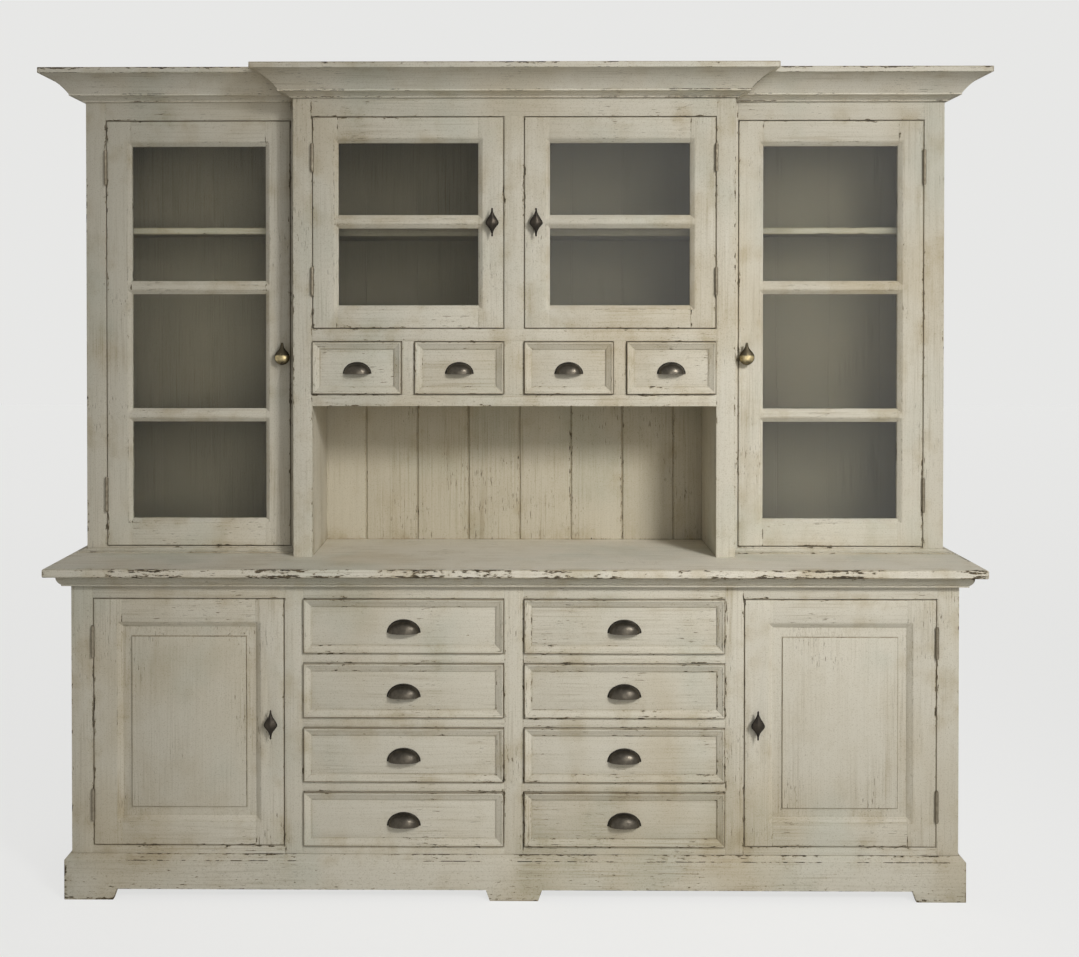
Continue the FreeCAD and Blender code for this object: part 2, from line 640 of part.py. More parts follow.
def foot_strips():
    """The hollow strip in front of a side section's foot, and the one along its end."""
    profile = (("0", "0"), ("foot_strip_out", "0"),
               ("foot_strip_out", "foot_strip_edge", "hollow", "foot_strip_hollow"),
               ("foot_strip_top", "foot_strip_tall"), ("0", "foot_strip_tall"))
    low, high = "counter_top", "counter_top + foot_strip_tall"
    corner = ("hutch_half + foot_strip_out", "side_face - foot_strip_out")
    front = moulding("foot_strip_front", profile, FORWARD, "side_face", low, high, (
        ("centre_half", "side_face"), ("centre_half", "side_face - foot_strip_out"),
        corner, ("hutch_half", "side_face")))
    end = moulding("foot_strip_end", profile, RIGHT, "hutch_half", low, high, (
        ("hutch_half", "side_face"), corner,
        ("hutch_half + foot_strip_out", "back"), ("hutch_half", "back")))
    return [front, end]


def made_hutch_carcass():
    """End panels, the walls beside the centre section, floors, tops, door stops, foot strips."""
    centre = ("centre_inside", "hutch_back")
    side = ("side_inside", "hutch_back")
    middle = ("-upper_door_far", "upper_door_far")
    pieces = [
        box("hutch_end_panel", ("hutch_wall", "hutch_half"), ("side_inside", "back"),
            ("counter_top", "hutch_top")),
        box("hutch_return_panel", ("return_wall", "centre_half"), centre,
            ("counter_top", "hutch_top")),
        box("hutch_centre_wall", ("upper_door_far", "centre_wall"), centre,
            ("counter_top", "hutch_top")),
        box("hutch_side_floor", ("centre_half", "hutch_wall"), side, ("counter_top", "side_floor")),
        box("hutch_side_top", ("centre_half", "hutch_wall"), side,
            ("hutch_top - board", "hutch_top")),
        box("small_drawer_divider", ("divider_middle - board / 2", "divider_middle + board / 2"),
            centre, ("small_floor", "upper_floor - board")),
        box("side_door_stop", ("side_door_near", "side_door_far"),
            ("side_inside", "side_inside + stop_thick"),
            ("doors_top - stop_lap", "doors_top + stop_hold")),
    ]
    whole = [
        box("hutch_centre_top", middle, centre, ("hutch_top - board", "hutch_top")),
        box("niche_ceiling", middle, centre, ("small_floor - board", "small_floor")),
        box("upper_cupboard_floor", middle, centre, ("upper_floor - board", "upper_floor")),
        box("small_drawer_middle_divider", ("-board / 2", "board / 2"), centre,
            ("small_floor", "upper_floor - board")),
        box("upper_door_stop", middle, ("centre_inside", "centre_inside + stop_thick"),
            ("doors_top - stop_lap", "doors_top + stop_hold")),
    ]
    group("hutch_carcass", both_sides(pieces + foot_strips()) + whole)


def made_hutch_frame():
    """The frame of the centre section, and those of the two side sections behind it."""
    deep = ("centre_face", "centre_inside")
    tall = ("counter_top", "hutch_top")
    middle = ("-upper_door_far", "upper_door_far")
    side_deep = ("side_face", "side_inside")
    between = ("side_door_near", "side_door_far")
    pieces = [
        hung_stile("centre_frame_stile", "upper", ("upper_door_far", "centre_half"), tall),
        box("small_divider_stile", ("small_first_far", "small_second_near"), deep,
            ("small_floor", "small_top")),
        box("side_frame_near_stile", ("centre_half", "side_door_near"), side_deep, tall),
        hung_stile("side_frame_end_stile", "side", ("side_door_far", "hutch_half"), tall),
        box("side_frame_low_rail", between, side_deep, ("counter_top", "side_floor")),
        box("side_frame_frieze", between, side_deep, ("doors_top", "hutch_top")),
    ]
    post = ("-upper_door_near", "upper_door_near")
    whole = [
        box("niche_rail", middle, deep, ("niche_top", "small_floor")),
        box("small_rail", middle, deep, ("small_top", "upper_floor")),
        box("centre_frieze", middle, deep, ("doors_top", "hutch_top")),
        box("small_middle_stile", post, deep, ("small_floor", "small_top")),
        box("upper_middle_stile", post, deep, ("upper_floor", "doors_top")),
    ]
    group("hutch_face_frame", both_sides(pieces) + whole)


def made_back_boards():
    """Upright boards with a V joint between each two, seen at the back of the niche."""
    wall, pitch, offset = value("hutch_wall"), value("back_pitch"), value("back_offset")
    first = math.ceil((-wall - offset) / pitch)
    joints = ["-hutch_wall"]
    while offset + (first + len(joints) - 1) * pitch < wall:
        joints.append(f"back_offset + {first + len(joints) - 1} * back_pitch")
    joints.append("hutch_wall")
    boards = []
    for number, (low, high) in enumerate(zip(joints, joints[1:]), start=1):
        boards.append(plan(f"back_board_{number}", (
            (low, "hutch_back + back_vee"), (f"{low} + back_vee", "hutch_back"),
            (f"{high} - back_vee", "hutch_back"), (high, "hutch_back + back_vee"),
            (high, "back"), (low, "back")), "counter_top", "hutch_top"))
    group("back_boards", boards)


def made_shelves():
    """Shelves, each on a strip at either end."""
    layout = (("side_upper", "centre_half", "hutch_wall", "side_face + shelf_set_back",
               "hutch_back", "upper_shelf_level"),
              ("side_lower", "centre_half", "hutch_wall", "side_face + shelf_set_back",
               "hutch_back", "lower_shelf_level"),
              ("base", "partition_far", "base_wall", "base_face + base_shelf_set_back",
               "base_back", "base_shelf_level"))
    pieces = []
    for name, near, far, front, back, level in layout:
        pieces.append(box(f"{name}_shelf", (near, far), (front, back),
                          (level, f"{level} + board")))
        for end, across in (("near", (near, f"{near} + cleat")), ("far", (f"{far} - cleat", far))):
            pieces.append(box(f"{name}_cleat_{end}", across, (f"{front} + cleat_short", back),
                              (f"{level} - cleat", level)))
    front = "centre_face + shelf_set_back"
    cleat_piece = box("centre_cleat", ("upper_door_far - cleat", "upper_door_far"),
                      (f"{front} + cleat_short", "hutch_back"),
                      ("centre_shelf_level - cleat", "centre_shelf_level"))
    centre = box("centre_shelf", ("-upper_door_far", "upper_door_far"), (front, "hutch_back"),
                 ("centre_shelf_level", "centre_shelf_level + board"))
    group("shelves", both_sides(pieces + [cleat_piece]) + [centre])


def made_cornice():
    """Seven lengths: the centre front, its two returns, the side fronts and the ends."""
    profile = (
        ("0", "0"), ("cornice_foot", "0"),
        ("cornice_foot", "cornice_bed_low", "hollow", "cornice_small_hollow"),
        ("cornice_bed_out", "cornice_band_low"), ("cornice_band_out", "cornice_band_low"),
        ("cornice_band_out", "cornice_band_high", "hollow", "cornice_hollow"),
        ("cornice_out - cornice_lip_back", "cornice_tall - cornice_lip"),
        ("cornice_out", "cornice_tall - cornice_lip"), ("cornice_out", "cornice_tall"),
        ("0", "cornice_tall"))
    out = "cornice_out"
    places = {
        "front": (FORWARD, "centre_face", (
            ("-centre_half", "centre_face"), (f"-centre_half - {out}", f"centre_face - {out}"),
            (f"centre_half + {out}", f"centre_face - {out}"), ("centre_half", "centre_face"))),
        "return": (RIGHT, "centre_half", (
            ("centre_half", "centre_face"), (f"centre_half + {out}", f"centre_face - {out}"),
            (f"centre_half + {out}", f"side_face - {out}"), ("centre_half", "side_face"))),
        "side": (FORWARD, "side_face", (
            ("centre_half", "side_face"), (f"centre_half + {out}", f"side_face - {out}"),
            (f"hutch_half + {out}", f"side_face - {out}"), ("hutch_half", "side_face"))),
        "end": (RIGHT, "hutch_half", (
            ("hutch_half", "side_face"), (f"hutch_half + {out}", f"side_face - {out}"),
            (f"hutch_half + {out}", "back"), ("hutch_half", "back"))),
    }
    made = {name: moulding(f"cornice_{name}", profile, outward, face, "cornice_low", "total_tall",
                           corners)
            for name, (outward, face, corners) in places.items()}
    group("cornice", [made["front"]] + both_sides([made["return"], made["side"], made["end"]]))


def hinge_half(name, kind, for_case):
    """One leaf with its knuckles, about the pin's middle; the case is towards +X."""
    long = f"{kind}_hinge_long"
    across = ("hinge_leaf_gap / 2", "hinge_leaf_gap / 2 + hinge_leaf_thick")
    if not for_case:
        across = tuple(f"-({place})" for place in reversed(across))
    root = "knuckle_radius + knuckle_gap"
    shapes = [box(name + "_leaf", across, (root, "hinge_ahead + hinge_leaf_deep"),
                  (f"-{long} / 2", f"{long} / 2"))]
    for knuckle in range(0 if for_case else 1, KNUCKLES, 2):
        low = f"{long} * {knuckle} / {KNUCKLES} - {long} / 2 + knuckle_gap / 2"
        tall = f"{long} / {KNUCKLES} - knuckle_gap"
        shapes.append(rod(f"{name}_knuckle_{knuckle}", "0", "0", low, "knuckle_radius", tall))
        shapes.append(box(f"{name}_web_{knuckle}", across, ("hinge_pin_radius + hinge_leaf_thick",
                                                            root), (low, f"{low} + {tall}")))
    bore = rod(name + "_bore", "0", "0", f"-{long} / 2 - overrun",
               "hinge_pin_radius + hinge_pin_fit", f"{long} + 2 * overrun")
    return cut(name, fused(name + "_solid", *shapes), bore)


def hinge_pin(name, kind):
    """The pin, with a button at each end that keeps it in the knuckles."""
    long = f"{kind}_hinge_long"
    shaft = rod(name + "_shaft", "0", "0", f"-{long} / 2", "hinge_pin_radius", long)
    buttons = [rod(f"{name}_{end}", "0", "0", low, "pin_head_radius", "pin_head_tall")
               for end, low in (("top", f"{long} / 2"), ("low", f"-{long} / 2 - pin_head_tall"))]
    return fused(name, shaft, *buttons)


def hinge_places(kind, label, shapes):
    """The two hinges of a right-hand door."""
    _, far, _, _, face = DOORS[kind]
    return [group(None, shapes, f"{label}_{number}", base_x=f"{far} - door_gap / 2",
                  base_y=f"{face} - hinge_ahead", base_z=level)
            for number, level in enumerate(hinge_levels(kind), start=1)]


def pair(label, source):
    """A right-hand node and its left-hand twin."""
    side, _, rest = label.partition("_door_")
    group(f"{side}_door_right_{rest}", source)
    mirrored(f"{side}_door_left_{rest}", group(None, source, f"{side}_door_left_{rest}_source"))


def hung_leaf(name, kind, solid, stile_wide):
    """The stiles and the rails of a door leaf, with hinge recesses and the knob's hole."""
    near, far, low, high, face = DOORS[kind]
    deep = (f"{face} - overrun", f"{face} + frame_thick + overrun")
    tall = (f"{low} - overrun", f"{high} + overrun")
    inner = (f"{near} + door_gap + {stile_wide}", f"{far} - door_gap - {stile_wide}")
    knob_stile = common(name + "_knob_side", solid,
                        box(name + "_knob_region", (near, inner[0]), deep, tall))
    hung_side = common(name + "_hung_side", solid,
                       box(name + "_hung_region", (inner[1], far), deep, tall))
    rails = common(name + "_rails", solid, box(name + "_rail_region", inner, deep, tall))
    hole = rod(name + "_spindle_hole", f"{near} + {kind}_knob_in", f"{face} - overrun",
               f"{kind}_knob_level", "spindle_radius + spindle_fit",
               "frame_thick + 2 * overrun", BACKWARD)
    recess = (f"{far} - door_gap / 2 - hinge_leaf_gap / 2 - hinge_leaf_thick", far)
    recesses = [mortise(f"{name}_mortise_{number}", kind, recess, face, level)
                for number, level in enumerate(hinge_levels(kind), start=1)]
    return [cut(name + "_knob_stile", knob_stile, hole),
            cut(name + "_hinge_stile", hung_side, *recesses), rails]


def glazed_door(kind, low_rail, bars):
    """A door of stiles, rails and glazing bars, with a pane in each opening."""
    near, far, low, high, face = DOORS[kind]
    name = f"{kind}_door"
    gap = "door_gap"
    leaf = box(name + "_leaf", (f"{near} + {gap}", f"{far} - {gap}"),
               (face, f"{face} + leaf_thick"), (f"{low} + {gap}", f"{high} - {gap}"))
    across = (f"{near} + {gap} + glazed_stile", f"{far} - {gap} - glazed_stile")
    edges = [f"{low} + {gap} + {low_rail}"]
    for bar in bars:
        edges += [f"{low} + {bar} - bar_flat / 2", f"{low} + {bar} + bar_flat / 2"]
    edges.append(f"{high} - {gap} - glazed_stile")
    tools, panes, beads = [], [], []
    for number, (bottom, top) in enumerate(zip(edges[::2], edges[1::2]), start=1):
        tag = f"{name}_pane_{number}"
        flat = (across, (bottom, top))
        step = f"{face} + sticking_step"

        def inset(by):
            return tuple((f"{first} + ({by})", f"{last} - ({by})") for first, last in flat)

        sight = inset("sticking_wide")
        rebate = inset("sticking_wide - glass_lap")
        glass = inset("sticking_wide - glass_lap + glass_fit")
        line = f"{face} + glass_line"
        tools += [
            box(tag + "_step", flat[0], (f"{face} - overrun", step), flat[1]),
            taper(tag + "_slope", inset("sticking_step"), (step, f"{face} + sticking_deep"),
                  "(sticking_wide - sticking_step)"),
            box(tag + "_sight", sight[0], (step, f"{face} + frame_thick"), sight[1]),
            box(tag + "_rebate", rebate[0], (line, f"{face} + frame_thick"), rebate[1]),
        ]
        panes.append(box(tag + "_glass", glass[0], (line, f"{line} + glass_thick"), glass[1]))
        behind = (f"{line} + glass_thick", f"{line} + glass_thick + bead_thick")
        beads += [
            box(tag + "_bead_near", (rebate[0][0], sight[0][0]), behind, rebate[1]),
            box(tag + "_bead_far", (sight[0][1], rebate[0][1]), behind, rebate[1]),
            box(tag + "_bead_low", sight[0], behind, (rebate[1][0], sight[1][0])),
            box(tag + "_bead_top", sight[0], behind, (sight[1][1], rebate[1][1])),
        ]
    solid = cut(name + "_cut", leaf, *tools)
    wood = hung_leaf(name, kind, solid, "(glazed_stile + sticking_wide)")
    pair(name + "_frame", wood + beads)
    pair(name + "_glass", panes)


def panelled_door():
    """A base door: a raised panel held loose in the grooves of its frame."""
    near, far, low, high, face = DOORS["base"]
    gap = "door_gap"
    leaf = box("base_door_leaf", (f"{near} + {gap}", f"{far} - {gap}"),
               (face, f"{face} + leaf_thick"), (f"{low} + {gap}", f"{high} - {gap}"))
    flat = ((f"{near} + {gap} + panel_stile", f"{far} - {gap} - panel_stile"),
            (f"{low} + {gap} + panel_stile", f"{high} - {gap} - panel_stile"))

    def inset(by):
        return tuple((f"{first} + ({by})", f"{last} - ({by})") for first, last in flat)

    step = f"{face} + sticking_step"
    sight = inset("panel_sticking")
    groove = inset("panel_sticking - panel_groove")
    plate = inset("panel_sticking - panel_groove + panel_fit")
    line = f"{face} + panel_line"
    slope_start = inset("panel_sticking + panel_margin")
    solid = cut(
        "base_door_cut", leaf,
        box("base_door_step", flat[0], (f"{face} - overrun", step), flat[1]),
        taper("base_door_slope", inset("sticking_step"), (step, f"{face} + sticking_deep"),
              "(panel_sticking - sticking_step)"),
        box("base_door_sight", sight[0], (step, f"{face} + frame_thick"), sight[1]),
        box("base_door_groove", groove[0],
            (f"{line} - panel_fit", f"{line} + panel_edge_thick + panel_fit"), groove[1]))
    plate_board = box("base_panel_plate", plate[0], (line, f"{line} + panel_edge_thick"), plate[1])
    # The slope narrows towards the front, so it is made facing back and turned round
    (x_low, x_high), (z_low, z_high) = slope_start
    across, up = inset("panel_sticking + panel_margin + panel_slope")
    slope = doc.addObject("Part::Wedge", "base_panel_slope")
    bind(slope, Xmin=across[0], Xmax=across[1], Zmin=up[0], Zmax=up[1],
         Ymin=f"{line} - panel_raise", Ymax=line,
         X2min=x_low, X2max=x_high, Z2min=z_low, Z2max=z_high)
    field = box("base_panel_field", across, (f"{line} - panel_raise - panel_step", line), up)
    pair("base_door_frame",
         hung_leaf("base_door", "base", solid, "(panel_stile + panel_sticking)"))
    pair("base_door_panel", [fused("base_panel_board", plate_board, slope, field)])


def made_hinges():
    """Two butt hinges to each door: one leaf with the case, the other with the door."""
    case_leaves = []
    for kind in DOORS:
        case = hinge_half(f"{kind}_hinge_case", kind, True)
        case_leaves += hinge_places(kind, f"{kind}_case_leaf",
                                    [case, hinge_pin(f"{kind}_hinge_pin", kind)])
        leaf = hinge_half(f"{kind}_hinge_leaf", kind, False)
        pair(f"{kind}_door_hinge_leaves", hinge_places(kind, f"{kind}_door_leaf", [leaf]))
    group("hinge_case_leaves", both_sides(case_leaves))


# Half outline of the spindle-shaped knob: shares of its half height and half width
DROP_SHARES = ((1, 0.12), (0.62, 0.28), (0.3, 0.72), (-0.06, 1), (-0.4, 0.5), (-0.72, 0.2),
               (-1, 0.12))
DROP_BACK_SHARE = 0.34
DROP_RIDGE_SHARE = 0.3


def drop_outline(name, share, level):
    """The spindle shape seen from the front, smaller by a share."""
    right = [(f"drop_wide / 2 * {wide} * {share}", f"drop_high / 2 * {tall} * {share}")
             for tall, wide in reversed(DROP_SHARES)]
    left = [(f"-({x})", z) for x, z in reversed(right)]
    return outline(name, right + left, RIGHT, UP, base_y=level)


def spindle_knob():
    """An iron knob: a flat spindle with a ridge, on a short neck; its middle at the origin."""
    back, middle = "-rose_thick - neck_long", "-rose_thick - neck_long - drop_back"
    sections = [drop_outline("drop_back_outline", DROP_BACK_SHARE, back),
                drop_outline("drop_middle_outline", 1, middle),
                drop_outline("drop_ridge_outline", DROP_RIDGE_SHARE, f"{middle} - drop_front")]
    halves = []
    for name, first, second in (("drop_back_half", sections[0], sections[1]),
                                ("drop_front_half", sections[1], sections[2])):
        loft = doc.addObject("Part::Loft", name)
        loft.Sections = [first, second]
        loft.Solid = True
        loft.Ruled = True
        halves.append(loft)
    return fused("drop_knob", *halves)


def button_knob():
    """A round domed knob with a pointed tip above it; its middle at the origin."""
    body = doc.addObject("PartDesign::Body", "button_body")
    sketch = body.newObject("Sketcher::SketchObject", "button_profile")
    plane = next(plane for plane in body.Origin.OriginFeatures if plane.Role == "XY_Plane")
    sketch.AttachmentSupport = [(plane, "")]
    sketch.MapMode = "FlatFace"
    back = "-rose_thick - neck_long"
    rim = f"{back} - button_back"
    dome = f"{rim} - button_rim"
    draw(sketch, (("0", back), ("0", f"{dome} - button_dome", "round",
                                "button_radius ^ 2 / (2 * button_dome) + button_dome / 2"),
                  ("button_radius", dome), ("button_radius", rim), ("neck_radius", back)))
    turned = body.newObject("PartDesign::Revolution", "button_turned")
    turned.Profile = sketch
    turned.ReferenceAxis = (sketch, ["V_Axis"])
    turned.Angle = 360
    body.Tip = turned
    tip = doc.addObject("Part::Cone", "button_tip")
    bind(tip, Radius1="button_tip_root", Radius2="button_tip_radius",
         Height="button_tip_high - button_radius / 2", base_y=f"{rim} - button_rim / 2",
         base_z="button_radius / 2")
    return fused("button_knob", body, tip)


def made_knobs():
    """A knob on each door: it turns a catch that reaches behind the stile."""
    drop, button = spindle_knob(), button_knob()
    for kind, knob in (("side", button), ("upper", drop), ("base", drop)):
        near, _, _, _, face = DOORS[kind]
        name = f"{kind}_knob"
        rose = rod(name + "_rose", "0", "-rose_gap", "0", "rose_radius", "rose_thick - rose_gap",
                   FORWARD)
        neck = rod(name + "_neck", "0", "-rose_thick", "0", "neck_radius", "neck_long", FORWARD)
        spindle = rod(name + "_spindle", "0", "-rose_gap", "0", "spindle_radius",
                      "rose_gap + leaf_thick + tongue_gap", BACKWARD)
        catch = box(name + "_catch", ("-tongue_wide / 2", "tongue_wide / 2"),
                    ("leaf_thick + tongue_gap", "leaf_thick + tongue_gap + tongue_thick"),
                    (f"-{kind}_knob_in - tongue_lap", "tongue_wide / 2"))
        placed = group(None, [knob, rose, neck, spindle, catch], name + "_placed",
                       base_x=f"{near} + {kind}_knob_in", base_y=face,
                       base_z=f"{kind}_knob_level")
        pair(f"{kind}_door_knob", [placed])


def picture_frame(name, wide, tall):
    """Four mitred lengths of moulding planted round a drawer front."""
    profile = (("0", "0"), ("trim_wide", "0"), ("trim_wide", "trim_toe"),
               ("trim_rim", "trim_out - trim_quirk"), ("trim_rim", "trim_out"),
               ("0", "trim_out"))
    right = f"({wide}) / 2"
    inner = f"({right} - trim_wide)"
    strips = {
        "top": (DOWN, {"base_z": tall}, (
            (f"-{inner}", f"{tall} - trim_wide"), (inner, f"{tall} - trim_wide"),
            (right, tall), (f"-{right}", tall))),
        "low": (UP, {}, (
            (f"-{right}", "0"), (right, "0"), (inner, "trim_wide"), (f"-{inner}", "trim_wide"))),
        "right": (LEFT, {"base_x": right}, (
            (right, "0"), (right, tall), (inner, f"{tall} - trim_wide"), (inner, "trim_wide"))),
        "left": (RIGHT, {"base_x": f"-{right}"}, (
            (f"-{right}", "0"), (f"-{inner}", "trim_wide"),
            (f"-{inner}", f"{tall} - trim_wide"), (f"-{right}", tall))),
    }
    made = []
    for side, (across, place, corners) in strips.items():
        section = outline(f"{name}_{side}_profile", profile, across, FORWARD, **place)
        length = prism(f"{name}_{side}_length", section, f"2 * ({wide})", True)
        made.append(common(f"{name}_{side}", length,
                           facing(f"{name}_{side}_ends", corners, "0", "trim_out")))
    return made


def drawer_box(name, opening_wide, opening_tall, box_tall, box_long):
    """A drawer about the middle of its front's lower edge, with its bottom in grooves."""
    wide = f"({opening_wide} - 2 * drawer_gap)"
    tall = f"({opening_tall} - 2 * drawer_gap)"
    half = f"{wide} / 2"
    inside = f"({half} - drawer_side_thick)"
    end = f"front_thick + {box_long}"
    groove = box(name + "_groove", (f"-{inside} - bottom_groove", f"{inside} + bottom_groove"),
                 ("front_thick - bottom_groove", end), ("bottom_up", "bottom_up + bottom_thick"))
    front = cut(name + "_front", box(name + "_front_wood", (f"-{half}", half),
                                     ("0", "front_thick"), ("0", tall)), groove)
    side = cut(name + "_side", box(name + "_side_wood", (inside, half), ("front_thick", end),
                                   ("0", box_tall)), groove)
    back = box(name + "_back", (f"-{inside}", inside), (f"{end} - drawer_side_thick", end),
               ("bottom_up + bottom_thick", box_tall))
    bottom = box(name + "_bottom", (f"-{inside} - bottom_groove", f"{inside} + bottom_groove"),
                 ("front_thick - bottom_groove", end), ("bottom_up", "bottom_up + bottom_thick"))
    return [front] + both_sides([side]) + [back, bottom] + picture_frame(name + "_trim", wide, tall)


def ellipsoid(name, across, out, up):
    """A smooth dome shape about the origin."""
    shape = doc.addObject("Part::Ellipsoid", name)
    return bind(shape, Radius1=up, Radius2=across, Radius3=out)


def half_ellipse(name, across, up, deep):
    """A flat half oval that stands on its straight edge."""
    curve = doc.addObject("Part::Ellipse", name + "_curve")
    curve.Placement.Rotation = FreeCAD.Rotation(RIGHT, 90)
    bind(curve, MajorRadius=across, MinorRadius=up)
    plate = prism(name + "_oval", curve, deep)
    plate.DirMode = "Custom"
    plate.Dir = FORWARD
    return common(name, plate, box(name + "_upper", (f"-{across}", across),
                                   (f"-{deep} - overrun", "overrun"), ("0", up)))


def cup_pull(name, wide, high):
    """A hood open below, with a rim that lies on the drawer front; its lower middle at 0."""
    half = f"{wide} / 2"
    dome = (f"{half} - pull_flange", "pull_out", f"{high} - pull_flange")
    hollow = tuple(f"{size} - pull_wall" for size in dome)
    outer = common(name + "_outer", ellipsoid(name + "_dome", *dome),
                   box(name + "_quarter", (f"-{half}", half), ("-pull_out", "0"), ("0", high)))
    rim = half_ellipse(name + "_rim", half, high, "pull_flange_thick")
    return cut(name, fused(name + "_solid", outer, rim), ellipsoid(name + "_hollow", *hollow))


def made_drawers():
    """Eight wide drawers in two columns, four small ones in a row, a cup pull on each."""
    wide_box = drawer_box("wide_drawer", "base_drawer_wide", "base_drawer_tall",
                          "base_box_tall", "base_box_long")
    small_box = drawer_box("small_drawer", "small_drawer_wide", "small_drawer_tall",
                           "small_box_tall", "small_box_long")
    wide_pull = cup_pull("wide_pull", "pull_wide", "pull_high")
    small_pull = cup_pull("small_pull", "small_pull_wide", "small_pull_high")
    column = "(base_drawer_near + base_drawer_far) / 2"
    for side, sign in (("left", "-"), ("right", "")):
        for row in range(DRAWER_ROWS):
            level = f"base_floor + {DRAWER_ROWS - 1 - row} * base_pitch"
            place = {"base_x": f"{sign}{column}", "base_y": "base_face"}
            name = f"base_drawer_{side}_{row + 1}"
            group(name, wide_box, base_z=f"{level} + drawer_gap", **place)
            group(name + "_pull", [wide_pull],
                  base_z=f"{level} + base_drawer_tall / 2 - pull_high / 2", **place)
    inner = "(upper_door_near + small_first_far) / 2"
    outer = "(small_second_near + upper_door_far) / 2"
    for number, middle in enumerate((f"-{outer}", f"-{inner}", inner, outer), start=1):
        place = {"base_x": middle, "base_y": "centre_face"}
        name = f"hutch_drawer_{number}"
        group(name, small_box, base_z="small_floor + drawer_gap", **place)
        group(name + "_pull", [small_pull],
              base_z="small_floor + small_drawer_tall / 2 - small_pull_high / 2", **place)


def runner_pair(name, wall, near_side, level, runner_tall, ends, with_guide=True):
    """A runner under one drawer side, and the strip that keeps the drawer straight."""
    towards = "drawer_side_thick" if value(wall) < value(near_side) else "-drawer_side_thick"
    reach = sorted((wall, f"{near_side} + {towards}"), key=value)
    top = f"{level} + drawer_gap - slide_gap"
    pieces = [box(name, reach, ends, (f"{top} - {runner_tall}", top))]
    if with_guide:
        step = "guide_gap" if value(wall) > value(near_side) else "-guide_gap"
        strip = sorted((wall, f"{near_side} + {step}"), key=value)
        pieces.append(box(name + "_guide", strip, ends, (top, f"{top} + guide_tall")))
    return pieces


def made_runners():
    """Runners and guide strips of the right-hand drawers, and the same on the left."""
    pieces = []
    ends = ("base_inside", "base_back - runner_short")
    small_ends = ("centre_inside", "hutch_back - runner_short")
    for row in range(DRAWER_ROWS):
        level = f"base_floor + {row} * base_pitch"
        tall = "runner_tall" if row else "(drawer_gap - slide_gap)"
        for side, wall, edge in (("near", "board / 2", "base_drawer_near + drawer_gap"),
                                 ("far", "partition_near", "base_drawer_far - drawer_gap")):
            pieces += runner_pair(f"runner_{row}_{side}", wall, edge, level, tall, ends)
    thin = "(drawer_gap - slide_gap)"
    for side, wall, edge, guided in (
            ("first_near", "board / 2", "upper_door_near + drawer_gap", True),
            ("first_far", "divider_middle - board / 2", "small_first_far - drawer_gap", True),
            ("second_near", "divider_middle + board / 2", "small_second_near + drawer_gap", True),
            ("second_far", "upper_door_far", "upper_door_far - drawer_gap", False)):
        pieces += runner_pair(f"small_runner_{side}", wall, edge, "small_floor", thin, small_ends,
                              guided)
    group("drawer_runners", both_sides(pieces))


made_plinth()
made_base_carcass()
made_base_frame()
made_runners()
made_countertop()
made_counter_moulding()
made_hutch_carcass()
made_hutch_frame()
made_back_boards()
made_shelves()
made_cornice()
made_hinges()
glazed_door("side", "side_door_low_rail", ("side_bar_low", "side_bar_high"))
glazed_door("upper", "upper_door_low_rail", ("upper_bar",))
panelled_door()
made_knobs()
made_drawers()
doc.recompute()

CASE = ("plinth", "base_carcass", "base_face_frame", "drawer_runners", "countertop",
        "counter_moulding", "hutch_carcass", "hutch_face_frame", "back_boards", "shelves",
        "cornice", "hinge_case_leaves")
nodes = list(CASE)
for kind, filling in (("side", "glass"), ("upper", "glass"), ("base", "panel")):
    for side in ("left", "right"):
        nodes += [f"{kind}_door_{side}_{piece}"
                  for piece in ("frame", filling, "hinge_leaves", "knob")]
for side in ("left", "right"):
    for row in range(1, DRAWER_ROWS + 1):
        nodes += [f"base_drawer_{side}_{row}", f"base_drawer_{side}_{row}_pull"]
for number in range(1, 5):
    nodes += [f"hutch_drawer_{number}", f"hutch_drawer_{number}_pull"]

faults = [thing.Name for thing in doc.Objects
          if {"Invalid", "Error"} & set(thing.State)]
finished = {thing.Label: thing for thing in doc.Objects if thing.Label in nodes}
for name in nodes:
    shape = finished[name].Shape
    if shape.isNull() or not shape.isValid() or not shape.Solids:
        faults.append(name)
    elif any(solid.Volume <= 0 for solid in shape.Solids):
        faults.append(name + " is inside out")
if faults:
    raise RuntimeError("not made: " + ", ".join(faults))

os.makedirs("parts", exist_ok=True)
for name in nodes:
    Part.makeCompound(finished[name].Shape.Solids).exportStep(f"parts/{name}.step")
print(len(nodes), "nodes,", sum(len(finished[name].Shape.Solids) for name in nodes), "solids")
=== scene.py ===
"""A painted buffet cabinet: how each of its pieces looks.

Metres, +Z up, +X to the right, and the front faces -Y, as in the frame.
"""
import math
import random

